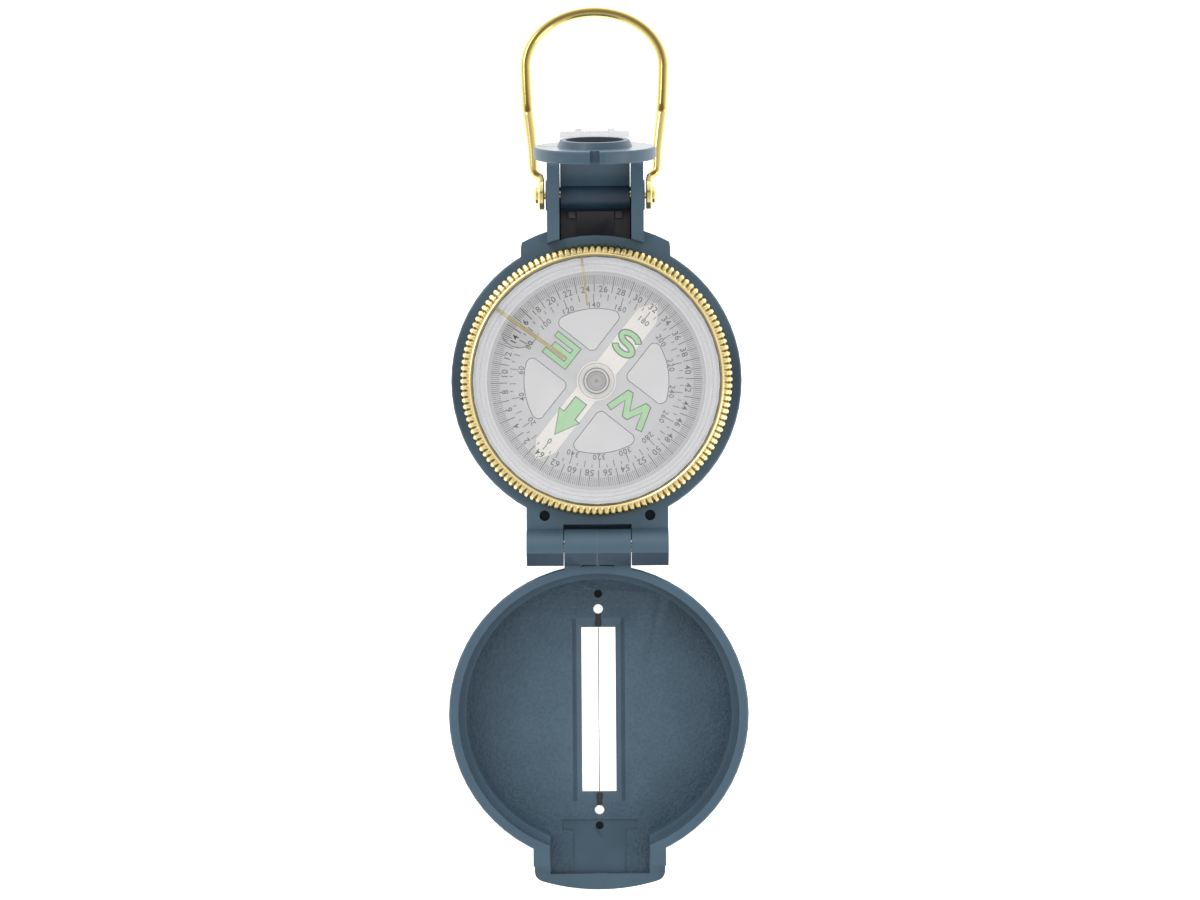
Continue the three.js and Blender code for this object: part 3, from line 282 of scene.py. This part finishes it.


# Capsule, post, pin and washer
# The cup is white, and its glow is painted light standing in for the light that the card
# above it lets through. A pale seal, with the same painted glow, lies between it and its lid.
# The post, the hinge's pin and the bezel's washer are steel.
def lofted(name, rings, shades=None, capped=False):
    """A skin over rings of points, each a closed loop, with a shade attribute for every point."""
    skin = bmesh.new()
    layer = skin.verts.layers.float.new("shade")
    loops = []
    for i, ring in enumerate(rings):
        loops.append([skin.verts.new(point) for point in ring])
        for vertex, shade in zip(loops[-1], shades[i] if shades else ()):
            vertex[layer] = shade
    for first, second in zip(loops, loops[1:]):
        for i in range(len(first)):
            skin.faces.new((first[i - 1], second[i - 1], second[i], first[i]))
    if capped:
        skin.faces.new(loops[0])
        skin.faces.new(loops[-1])
    bmesh.ops.remove_doubles(skin, verts=skin.verts, dist=0.001 * MM)
    bmesh.ops.recalc_face_normals(skin, faces=skin.faces)
    mesh = bpy.data.meshes.new(name)
    skin.to_mesh(mesh)
    skin.free()
    return smooth(mesh)


def around(steps, start=0.0, sweep=360.0):
    """Even steps of an angle in radians, from a start and a sweep in degrees, with both ends."""
    return [math.radians(start + sweep * i / steps) for i in range(steps + 1)]


def turned(name, section, steps=144):
    """A ring turned about Z from a closed section of radii and heights."""
    rings = [[(r * math.cos(t), r * math.sin(t), z) for r, z in section] for t in around(steps)]
    return lofted(name, rings)


# The cup's glow is painted light, standing in for light through the card.
cup_finish_painted_glow = Finish(
    "capsule_white", (0.66, 0.66, 0.67), 0.35, Emission_Color=WHITE, Emission_Strength=0.28)
dressed("capsule_cup", cup_finish_painted_glow.material, "case", 40)
# The seal's glow is painted light too.
seal_finish_painted_glow = Finish(
    "capsule_seal", (0.66, 0.66, 0.68), 0.4, Emission_Color=WHITE, Emission_Strength=0.2)
seal_low, seal_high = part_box("capsule_seal")
seal_radius = (seal_high.z - seal_low.z) / 2
seal_middle, seal_height = seal_high.x - seal_radius, seal_low.z + seal_radius
seal_mesh = turned("capsule_seal", [
    (seal_middle + seal_radius * math.cos(t), seal_height + seal_radius * math.sin(t))
    for t in around(16)[:-1]
])
seal_rubber = seal_finish_painted_glow.material
fitted("capsule_seal_round", seal_mesh, seal_rubber, "case", "capsule_seal")
steel = Finish("steel", (0.55, 0.55, 0.57), 0.25, Metallic=1.0)
for node in ("dial_post", "cover_hinge_pin", "bezel_washer"):
    dressed(node, steel.material, "case")


# Dial card and magnet
# A thin sheet of frosted plastic with four windows, and under it a painted bar magnet with
# pointed ends, which shows through the sheet with a fine dark edge and a ring round its hub.
NORTH = math.radians(231.6)
BAR_HALF_WIDTH, BAR_HALF_LENGTH = 2.3 * MM, 19.3 * MM
HUB_RADIUS, HUB_RING_RADIUS = 3.85 * MM, 3.4 * MM
card_finish = Finish("dial_card", (0.5, 0.5, 0.5), 0.5)
east, north, _ = card_finish.axes()
along = abs(east * math.cos(NORTH) + north * math.sin(NORTH))
across = abs(north * math.cos(NORTH) - east * math.sin(NORTH))
radius = (along * along + across * across).math("SQRT")
beyond_points = 0.56 * (along + 1.48 * across - BAR_HALF_LENGTH)
beyond_bar = (across - BAR_HALF_WIDTH).math("MAXIMUM", beyond_points)
beyond = beyond_bar.math("MINIMUM", radius - HUB_RADIUS)
sheet = card_finish.blend(card_finish.noise(3 * MM), (0.6, 0.6, 0.61), (0.66, 0.66, 0.665))
painted = card_finish.blend(beyond < 0, sheet, (0.98, 0.94, 0.88))
fine = 0.07 * MM
edges = 0.3 * (abs(beyond) < fine) + 0.75 * (abs(radius - HUB_RING_RADIUS) < fine)
card_finish.blend(edges, painted, (0.2, 0.18, 0.17))
dressed("dial_card", card_finish.material, "dial")

magnet_finish = Finish("magnet_paint", (0.93, 0.88, 0.84), 0.5)
magnet_finish.bump(magnet_finish.noise(1.2 * MM), 0.01 * MM, 0.15 * MM)
dressed("dial_magnet", magnet_finish.material, "dial")


# Scales on the dial
# Fine grey ink on the card: a tick every 20 mils of 6400 at the edge and a longer one every
# 200, and inside them a ring of degrees. One bar goes round the dial for each scale.
def round_tree():
    """A node tree that repeats its geometry round the Z axis."""
    tree = bpy.data.node_groups.new("round", "GeometryNodeTree")
    inputs = {"Geometry": "Geometry", "Count": "Int", "Start": "Float", "Finish": "Material"}
    for name, kind in inputs.items():
        tree.interface.new_socket(name, in_out="INPUT", socket_type="NodeSocket" + kind)
    tree.interface.new_socket("Geometry", in_out="OUTPUT", socket_type="NodeSocketGeometry")
    given, result, points, spread, realize, weld, coat, index, step, angle, turn = (
        tree.nodes.new(kind) for kind in (
            "NodeGroupInput", "NodeGroupOutput", "GeometryNodeMeshLine",
            "GeometryNodeInstanceOnPoints", "GeometryNodeRealizeInstances",
            "GeometryNodeMergeByDistance", "GeometryNodeSetMaterial", "GeometryNodeInputIndex",
            "ShaderNodeMath", "ShaderNodeMath", "ShaderNodeCombineXYZ"))
    points.inputs["Offset"].default_value = (0, 0, 0)
    weld.inputs["Distance"].default_value = 0.001 * MM
    step.operation = "DIVIDE"
    step.inputs[0].default_value = 2 * math.pi
    angle.operation = "MULTIPLY_ADD"
    for source, target in (
        (given.outputs["Count"], points.inputs["Count"]),
        (given.outputs["Count"], step.inputs[1]),
        (index.outputs[0], angle.inputs[0]),
        (step.outputs[0], angle.inputs[1]),
        (given.outputs["Start"], angle.inputs[2]),
        (angle.outputs[0], turn.inputs["Z"]),
        (points.outputs[0], spread.inputs["Points"]),
        (given.outputs["Geometry"], spread.inputs["Instance"]),
        (turn.outputs[0], spread.inputs["Rotation"]),
        (spread.outputs[0], realize.inputs[0]),
        (realize.outputs[0], weld.inputs[0]),
        (weld.outputs[0], coat.inputs["Geometry"]),
        (given.outputs["Finish"], coat.inputs["Material"]),
        (coat.outputs[0], result.inputs[0]),
    ):
        tree.links.new(source, target)
    return tree


all_round = round_tree()


def evaluated_mesh(piece):
    """The plain mesh that an object makes with its modifiers; the object goes."""
    graph = bpy.context.evaluated_depsgraph_get()
    mesh = bpy.data.meshes.new_from_object(piece.evaluated_get(graph))
    bpy.data.objects.remove(piece)
    return mesh


def repeated(mesh, count, start, material):
    """A mesh repeated round the Z axis as one plain mesh, from a start angle in radians."""
    piece = linked("repeated", mesh)
    modifier = piece.modifiers.new("round", "NODES")
    modifier.node_group = all_round
    values = {"Count": count, "Start": start, "Finish": material}
    for item in all_round.interface.items_tree:
        if item.in_out == "INPUT" and item.name in values:
            modifier[item.identifier] = values[item.name]
    mesh = evaluated_mesh(piece)
    mesh.materials.clear()
    mesh.materials.append(material)
    mesh.polygons.foreach_set("material_index", [0] * len(mesh.polygons))
    return mesh


ink = Finish("grey_ink", (0.035, 0.035, 0.037), 0.6).material
INK_THICKNESS = 0.012 * MM
card_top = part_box("dial_card")[1].z
north_turn = Matrix.Rotation(NORTH - math.pi / 2, 4, "Z")
ON_CARD = Matrix.Translation((0, 0, card_top + INK_THICKNESS)) @ north_turn


def printed(name, meshes, material):
    """Meshes drawn round the origin, north up, as one piece on the card."""
    whole = bmesh.new()
    for mesh in meshes:
        whole.from_mesh(mesh)
    mesh = bpy.data.meshes.new(name)
    whole.to_mesh(mesh)
    whole.free()
    mesh.transform(ON_CARD)
    fitted(name, mesh, material, "dial")


def tick(inner, outer, width):
    """A flat bar along +Y between two radii in millimetres."""
    shape = bmesh.new()
    bmesh.ops.create_cube(shape, size=1)
    mesh = bpy.data.meshes.new("tick")
    shape.to_mesh(mesh)
    shape.free()
    size = Matrix.Diagonal((width * MM, (outer - inner) * MM, INK_THICKNESS, 1))
    mesh.transform(Matrix.Translation((0, (inner + outer) / 2 * MM, 0)) @ size)
    return mesh


printed("mil_scale", [
    repeated(tick(18.6, 20.3, 0.09), 320, 0, ink),
    repeated(tick(18.2, 20.3, 0.14), 32, 0, ink),
    repeated(tick(17.1, 20.3, 0.16), 32, math.pi / 32, ink),
], ink)
printed("degree_scale", [
    repeated(tick(15.1, 16.7, 0.15), 18, 0, ink),
    repeated(tick(15.45, 16.7, 0.15), 18, math.pi / 18, ink),
    repeated(tick(16.05, 16.7, 0.15), 36, math.pi / 36, ink),
], ink)


def text(words, height, spacing):
    """A word, its height in millimetres, as a thin plate round the origin, top towards +Y."""
    data = bpy.data.curves.new("word", "FONT")
    data.body = words
    data.size = height
    data.space_character = spacing
    data.align_x = "CENTER"
    data.extrude = INK_THICKNESS / MM / 2
    data.offset = 0.012 * height
    data.resolution_u = 3
    mesh = evaluated_mesh(linked("word", data))
    heights = [v.co.y for v in mesh.vertices]
    middle = (min(heights) + max(heights)) / 2
    mesh.transform(Matrix.Scale(MM, 4) @ Matrix.Translation((0, -middle, 0)))
    return mesh


def figures(name, numbers, full, radius, height, spacing):
    """Numbers round the dial, clockwise from north, with their tops outwards."""
    words = []
    for number in numbers:
        word = text(str(number), height, spacing)
        turn = Matrix.Rotation(-2 * math.pi * number / full, 4, "Z")
        word.transform(turn @ Matrix.Translation((0, radius * MM, 0)))
        words.append(word)
    printed(name, words, ink)


figures("degree_figures", range(0, 360, 20), 360, 14.6, 1.5, 1.15)
figures("mil_figures", range(2, 66, 2), 64, 17.65, 1.7, 1.1)


# Cardinal points
# An arrow for north and the letters E, S and W in pale green glow paint, each with a fine
# dark outline. All stand upright when north is at the top.
glow_green = Finish("glow_green", (0.42, 0.71, 0.40), 0.6)
glow_green.blend(glow_green.noise(1.5 * MM), (0.28, 0.66, 0.26), (0.44, 0.78, 0.38))
dark_green = Finish("outline_green", (0.03, 0.07, 0.035), 0.6)


def drawn(lines, radius=None, closed=True):
    """Lines of points in millimetres as round wires, or without a radius as flat plates."""
    data = bpy.data.curves.new("drawn", "CURVE")
    data.dimensions = "3D" if radius else "2D"
    data.fill_mode = "FULL" if radius else "BOTH"
    if radius:
        data.bevel_depth = radius
        data.use_fill_caps = True
    else:
        data.extrude = INK_THICKNESS / MM / 2
    for line in lines:
        spline = data.splines.new("POLY")
        spline.points.add(len(line) - 1)
        spline.use_cyclic_u = closed
        for point, place in zip(spline.points, line):
            point.co = (*Vector(place).to_3d(), 1)
    mesh = evaluated_mesh(linked("drawn", data))
    mesh.transform(Matrix.Scale(MM, 4))
    return mesh


def stroke(path, width=1.12):
    """The outline of a flat pen stroke along a path of points."""
    path = [Vector(p) for p in path]
    left, right = [], []
    for i, point in enumerate(path):
        before = (point - path[i - 1]).normalized() if i else (path[1] - point).normalized()
        after = (path[i + 1] - point).normalized() if i + 1 < len(path) else before
        mean = Vector((-before.y - after.y, before.x + after.x))
        normal = mean * width / 2 / (1 + before.dot(after))
        blunt = [Vector((-way.y, way.x)) * width / 2 for way in (before, after)]
        sharp, turns_left = before.dot(after) < 0, before.cross(after) > 0
        left += [point + side for side in blunt] if sharp and not turns_left else [point + normal]
        right += [point - side for side in blunt] if sharp and turns_left else [point - normal]
    return left + right[::-1]


def curl(centre_y, start, sweep):
    """Half of the S: an arc wider than it is high."""
    return [(1.88 * math.cos(t) - 0.2, centre_y + math.sin(t)) for t in around(16, start, sweep)]


arrow = [
    (-1.33, 4.8), (1.33, 4.8), (1.33, 8.4), (2.47, 8.4), (0, 13.05), (-2.47, 8.4), (-1.33, 8.4),
]
west, east, arm_end, low, high, thick = 6.05, 11.65, 10.9, -3.0, 2.0, 1.15
stem, middle = west + thick, (low + high - thick) / 2
letter_e = [
    (west, low), (east, low), (east, low + thick), (stem, low + thick), (stem, middle),
    (arm_end, middle), (arm_end, middle + thick), (stem, middle + thick), (stem, high - thick),
    (east, high - thick), (east, high), (west, high),
]
letter_w = stroke([(-12.2, 2.5), (-10.75, -2.2), (-8.6, 2.0), (-6.45, -2.2), (-5.0, 2.5)], 1.25)
letter_s = stroke(curl(-8.2, 15, 240) + curl(-10.2, 75, -240))
glyphs = [arrow, letter_e, letter_s, letter_w]
raised = Matrix.Translation((0, 0, INK_THICKNESS))
plates, rims = drawn(glyphs), drawn(glyphs, 0.125)
plates.transform(raised)
rims.transform(Matrix.Translation((0, 0, 2 * INK_THICKNESS)) @ Matrix.Diagonal((1, 1, 0.15, 1)))
printed("cardinal_points", [plates], glow_green.material)
printed("cardinal_outlines", [rims], dark_green.material)


# Edges of the windows
# A fine line of the same grey ink runs round each of the card's four windows. It follows the
# upper edges of the CAD card's window walls.
def by_a_window(end):
    return abs(end.z - card_top) < 0.01 * MM and 5 * MM < end.xy.length < 14.5 * MM


card_shape = bmesh.new()
card_shape.from_mesh(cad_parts["dial_card"].data)
bmesh.ops.remove_doubles(card_shape, verts=card_shape.verts, dist=MERGE_DISTANCE)
window_edges = []
for edge in card_shape.edges:
    ends = [v.co for v in edge.verts]
    upright = any(abs(face.normal.z) < 0.1 for face in edge.link_faces)
    if upright and all(by_a_window(end) for end in ends):
        window_edges.append([(ON_CARD.inverted() @ end).xy / MM for end in ends])
card_shape.free()
window_lines = drawn(window_edges, 0.075, closed=False)
window_lines.transform(Matrix.Diagonal((1, 1, 0.3, 1)))
printed("window_lines", [window_lines], ink)


# Cap and jewel
# A grey dished cap, turned from metal with fine grooves, is pressed on the card's middle and
# holds the jewel that sits on the post's point. Its edge, its grooves and its dish are painted
# as darker rings, painted shade.
cap_finish = Finish("cap_grey", (0.42, 0.41, 0.4), 0.3)
east, north, _ = cap_finish.axes()
radius = (east * east + north * north).math("SQRT")
# Painted shade: darker rings on the cap's edge, its grooves and its dished middle.
edge = 0.9 * (1 - (radius < 2.3 * MM))
groove = 0.85 * (abs(radius - 1.88 * MM) < 0.09 * MM)
faint_groove = 0.15 * (abs(radius - 1.25 * MM) < 0.1 * MM)
dish = 0.48 * (radius < 1.8 * MM) + 0.3 * (radius < 0.35 * MM)
cap_painted_shade = edge + groove + faint_groove + dish + 0.1
cap_finish.blend(cap_painted_shade, (0.76, 0.74, 0.72), (0.1, 0.09, 0.085))
cap_finish.bump(cap_finish.noise(0.6 * MM), 0.01 * MM, 0.12 * MM)
dressed("dial_cap", cap_finish.material, "dial")
jewel_finish = Finish("jewel", (0.45, 0.08, 0.12), 0.1)
dressed("dial_jewel", jewel_finish.material, "dial")


# Capsule lid, damping liquid and bubble
# The lid is clear plastic with faint turned rings near its edge. The liquid under it veils the
# dial a little, but for one round bubble, where the scales look darker. Along one side of the
# bubble's edge runs a dark arc of painted shade.
BUBBLE_X, BUBBLE_Y, BUBBLE_RADIUS = -14.6, 10.1, 3.7
RING_SPACING, RINGS_START = 0.85 * MM, 20.6 * MM
lid_finish = Finish("clear_lid", (0.8, 0.8, 0.84), 0.08)
x, y, _ = lid_finish.axes()
radius = (x * x + y * y).math("SQRT")
rings = (radius * (2 * math.pi / RING_SPACING)).math("SINE") * (1 - (radius < RINGS_START))
x, y = x - BUBBLE_X * MM, y - BUBBLE_Y * MM
in_bubble = x * x + y * y < (BUBBLE_RADIUS * MM) ** 2
lid_finish.blend(0.3 * rings, (0.62, 0.62, 0.64), (0.3, 0.3, 0.32))
lid_finish.set("Alpha", 0.13 - 0.12 * in_bubble + 0.025 * rings)
lid_low, lid_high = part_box("capsule_lid")
spigot, under, seat = 21.6 * MM, lid_low.z, lid_low.z + 1.0 * MM
lid_mesh = turned("capsule_lid", [
    (0, under), (spigot, under), (spigot, seat), (lid_high.x, seat),
    (lid_high.x, lid_high.z), (0, lid_high.z),
])
fitted("capsule_lid_round", lid_mesh, lid_finish.material, "case", "capsule_lid")

# Painted shade: a dark arc along one side of the bubble's edge.
rim = [
    (BUBBLE_X + BUBBLE_RADIUS * math.cos(t), BUBBLE_Y + BUBBLE_RADIUS * math.sin(t))
    for t in around(24, 205, 140)
]
bubble_edge = drawn([rim], 0.09, closed=False)
bubble_edge.transform(Matrix.Translation((0, 0, under - 0.3 * MM)))
edge_finish = Finish("bubble_edge", (0.12, 0.12, 0.13), 0.1, Alpha=0.5)
fitted("bubble_edge", bubble_edge, edge_finish.material, "case")


# Crystal, lens and clip
# Clear plastic too, nearly invisible face on: the crystal is snapped into the bezel, the lens
# sits in the eyepiece's disc and the clip lies on the outer face of its arm.
def clear_plastic(name, color, veil):
    return Finish(name, color, 0.05, Alpha=veil).material


glassy = (0.95, 0.955, 0.965)
crystal_plastic = clear_plastic("clear_crystal", glassy, 0.02)
lens_plastic = clear_plastic("clear_lens", glassy, 0.06)
clip_plastic = clear_plastic("clear_clip", (0.4, 0.4, 0.42), 0.42)
dressed("bezel_crystal", crystal_plastic, "bezel", 40)
dressed("eyepiece_lens", lens_plastic, "eyepiece")
dressed("eyepiece_clip", clip_plastic, "eyepiece")


# Bezel
# A thin brass ring, bright plated, that snaps over the case's collar and turns on it. The
# teeth of its knurled edge run up over its bevel. The shade attribute of a mesh paints shade
# into the brass: in the gaps between the teeth, low on the outer edge, and as a painted dark
# reflection in a band on the inner edge.
def brass(name, roughness, pale, dark, relief):
    finish = Finish(name, pale, roughness, Metallic=1.0)
    shade = finish.node("Attribute", {"attribute_name": "shade"}, output=2)
    finish.blend(shade + 0.08 * finish.noise(3 * MM), pale, dark)
    finish.bump(finish.noise(0.25 * MM), relief, 0.06 * MM)
    return finish.material


bezel_brass = brass("bezel_brass", 0.22, (0.81, 0.67, 0.34), (0.22, 0.165, 0.06), 0.004 * MM)
TEETH = 130
low, high = (corner.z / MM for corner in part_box("bezel_ring"))
# Radius, height and painted shade of the points of each section, from the outer edge's
# foot upwards
inside = [
    (24.1, high - 0.03, 0), (23.95, high - 0.1, 0), (23.88, high - 0.16, 0.75),
    (23.6, high - 0.45, 0.8), (23.6, high - 0.85, 0.8), (24.75, high - 0.85, 0),
    (24.75, 13.95, 0), (25.1, 13.95, 0), (25.1, low + 0.25, 0), (24.7, low + 0.25, 0),
    (24.7, low, 0),
]
crest = [
    (25.85, low, 0.5), (25.85, high - 1.1, 0.2), (25.65, high - 0.6, 0), (25.3, high - 0.22, 0),
    (24.75, high, 0), (24.25, high - 0.1, 0.15), *inside,
]
groove = [
    (25.55, low, 1), (25.55, high - 1.4, 1), (25.45, high - 0.95, 1), (25.15, high - 0.6, 1),
    (24.6, high - 0.35, 0.9), (24.25, high - 0.15, 0.5), *inside,
]
rings, shades = [], []
for fraction, profile in ((0, crest), (0.2, crest), (0.5, groove), (0.8, crest), (1, crest)):
    angle = 2 * math.pi * fraction / TEETH
    wide, deep = math.cos(angle) * MM, math.sin(angle) * MM
    rings.append([(r * wide, r * deep, z * MM) for r, z, _ in profile])
    shades.append([shade for *_, shade in profile])
ring_mesh = smooth(repeated(lofted("tooth", rings, shades), TEETH, 0, bezel_brass))
fitted("bezel_knurled", ring_mesh, bezel_brass, "bezel", "bezel_ring")


# Index lines
# Two pale gold lines painted on the underside of the crystal, a long one and a short one,
# which turn with the bezel.
gold_paint = Finish("index_gold", (0.66, 0.55, 0.25), 0.5, Alpha=0.3).material
dressed("index_line_long", gold_paint, "bezel")
dressed("index_line_second", gold_paint, "bezel")


# Eyepiece bracket
# The same plastic as the case: a barrel on the pin, with painted shade where it lies between
# the rails, a flat arm and a standing disc, whose polished outer face shines.
pivot = Vector((0, 35.7, 8.0)) * MM
BARREL_RADIUS, HOLE_HEIGHT, HOLE_RADIUS = 3.1 * MM, 13.5 * MM, 6.3 * MM


def bracket_shading(x, y, z):
    """Painted shade on the barrel, and a little darker from the neck up."""
    disc = 0.2 * (1 - (z < 11.5 * MM))
    y, z = y - pivot.y, z - pivot.z
    return 0.7 * (y * y + z * z < BARREL_RADIUS ** 2) + disc


bracket_plastic = blue_plastic("bracket_plastic", bracket_shading)
bracket = dressed("eyepiece_bracket", bracket_plastic, "eyepiece")
disc_gloss = Finish(
    "disc_gloss", (0.07, 0.12, 0.17), 0.3, IOR=1.6, Coat_Weight=0.2, Coat_Roughness=0.3)
bracket.data.materials.append(disc_gloss.material)
# The walls of the eye hole are painted near black: painted shade inside the hole.
bracket.data.materials.append(Finish("eye_hole", (0.012, 0.02, 0.026), 0.6).material)
OUTER_FACE, EYE_HOLE_SHADE = 1, 2
lean = math.radians(11)
outward = Vector((0, math.cos(lean), math.sin(lean)))
hole_middle = pivot + HOLE_HEIGHT * Vector((0, -outward.z, outward.y))
for face in bracket.data.polygons:
    reach = (face.center - pivot).dot(outward)
    facing = face.normal.dot(outward)
    if facing > 0.95 and 10 * MM < reach < 11.6 * MM:
        face.material_index = OUTER_FACE
    across = face.center - hole_middle
    across -= across.dot(outward) * outward
    if abs(facing) < 0.3 and across.length < HOLE_RADIUS and reach > 8.6 * MM:
        face.material_index = EYE_HOLE_SHADE


# Pin and bail
# A headed brass pin, and the bail of round brass wire: crimped above its flattened legs,
# which curl in to the eyes that hang on the pin. A darker stripe along its top is a painted
# reflection of the grey overhead, painted stronger as shade at the crimp and the bend of the
# legs.
bail_brass = brass("bail_brass", 0.16, (0.8, 0.66, 0.27), (0.2, 0.13, 0.03), 0.0005 * MM)
dressed("eyepiece_pin", bail_brass, "case")
# Across the bail, distance from the pin, half of the width and of the thickness, the
# squareness of the section and the strength of the painted stripe of reflection and shade
leg = [
    (10.3, 1.3, 0.55, 1.25, 4, 0.1), (10.3, 2.9, 0.55, 1.2, 4, 0.1),
    (10.45, 3.5, 0.6, 1.15, 3, 0.3), (10.85, 3.85, 0.68, 1.1, 3, 0.9),
    (11.35, 4.1, 0.75, 1.1, 2.6, 1.2), (11.75, 4.7, 0.8, 1.08, 2.4, 0.6),
    (11.9, 5.6, 0.85, 1.05, 2.4, 0.2), (12.0, 9, 0.95, 1.05, 2.4, 0.2),
    (12.45, 13, 1.0, 1.02, 2.2, 0.25), (12.8, 15.8, 1.05, 1, 2, 0.25),
    (12.88, 16.3, 1.05, 1, 2, 0.5), (12.9, 16.55, 0.86, 0.9, 2, 2.0),
    (12.92, 16.8, 1.05, 1, 2, 1.4), (13.0, 18, 1.05, 1, 2, 0.9), (13.2, 21.5, 1.05, 1, 2, 0.8),
]
arch = []
for angle in around(32, 0, 180):
    rise = math.sin(angle)
    arch.append((13.35 * math.cos(angle), 25.7 + 11.07 * rise, 1.05 - 0.05 * rise, 1, 2, 0.8))
path = leg + arch + [(-x, *rest) for x, *rest in leg[::-1]]
hang = Matrix.Rotation(-math.asin(6.95 / 36.8), 3, "X")
rings, shades = [], []
for i, (x, y, half_width, half_depth, squareness, painted_stripe) in enumerate(path):
    before, after = path[max(i - 1, 0)], path[min(i + 1, len(path) - 1)]
    onward = Vector((after[0] - before[0], after[1] - before[1])).normalized()
    ring, tones = [], []
    for turn in around(24)[:-1]:
        out, up = (
            math.copysign(abs(part) ** (2 / squareness), part)
            for part in (math.cos(turn), math.sin(turn)))
        out *= half_width
        point = Vector((x + onward.y * out, y - onward.x * out, up * half_depth))
        ring.append(pivot + hang @ point * MM)
        tones.append(painted_stripe * math.exp(-((turn - 1.6) / 0.5) ** 2) + 0.12)
    rings.append(ring)
    shades.append(tones)
wire = lofted("bail_wire", rings, shades, capped=True)
fitted("bail_wire", wire, bail_brass, "bail", "bail")
section = [(0.9, 9.75), (2.6, 9.75), (2.8, 9.95), (2.8, 10.65), (2.6, 10.85), (0.9, 10.85)]
for side, name in ((1, "bail_eye_right"), (-1, "bail_eye_left")):
    eye_mesh = turned(name, [(r * MM, x * MM) for r, x in section], 48)
    eye_mesh.transform(Matrix.Translation(pivot) @ Matrix.Rotation(side * math.pi / 2, 4, "Y"))
    fitted(name, eye_mesh, bail_brass, "bail")


# Cover
# A shallow bowl of the same plastic. Its floor has a fine moulded grain, but for the bevel
# round the slot and the T-shaped relief, which are smooth like the walls. A pale line down the
# middle of its knuckle is a painted highlight on the parting line.
COVER_Y = -63.6 * MM


def cover_shading(x, y, z):
    """Painted shade on the knuckle's front facet and the bevel along the slot, and a painted
    highlight on the knuckle's parting line.
    """
    knuckle = 1 - (y < -35.3 * MM)
    # A painted highlight along the parting line of the knuckle.
    line = knuckle * (abs(x + 0.1 * MM) < 0.12 * MM)
    along_slot = (abs(x) < 5.4 * MM) * (1 - (abs(x) < 4.3 * MM)) * (abs(y - COVER_Y) < 18 * MM)
    bevel = along_slot * (1 - (z < 1 * MM))
    return 0.7 * knuckle * (y < HINGE_FACET_Y) + 0.6 * bevel - line


def floor_shading(x, y, z):
    """Paler in the middle."""
    y = y - COVER_Y
    return 600 * (x * x + y * y) - 0.12


def relief_shading(x, y, z):
    """Evenly a little darker."""
    return 0.276


cover_plastic = blue_plastic("cover_plastic", cover_shading)
cover = dressed("cover_body", cover_plastic, "cover")
cover.data.materials.append(blue_plastic("cover_grain", floor_shading, 0.5 * MM, 0.16 * MM, 0.9))
cover.data.materials.append(blue_plastic("cover_relief", relief_shading))
GRAIN, RELIEF = 1, 2
for face in cover.data.polygons:
    for index, level in ((GRAIN, 1.7), (RELIEF, 1.4)):
        if face.normal.z > 0.99 and abs(face.center.z - level * MM) < 0.05 * MM:
            face.material_index = index


# Hair wire, anchors and dots
# A fine dull wire down the middle of the slot, held by a black stud at each end, and
# beyond each sight hole a small dot of dark glossy paint at the bottom of its hole.
wire_finish = Finish("hair_wire", (0.12, 0.12, 0.11), 0.4)
dressed("hair_wire", wire_finish.material, "cover", 80)
anchor_finish = Finish("anchor_black", (0.018, 0.015, 0.014), 0.4)
dot_finish = Finish("glow_dot", (0.004, 0.005, 0.005), 0.1, Specular_IOR_Level=0.15)
for node in ("wire_anchor_hinge_end", "wire_anchor_tongue_end"):
    dressed(node, anchor_finish.material, "cover")
for node in ("glow_dot_hinge_end", "glow_dot_tongue_end"):
    dressed(node, dot_finish.material, "cover")
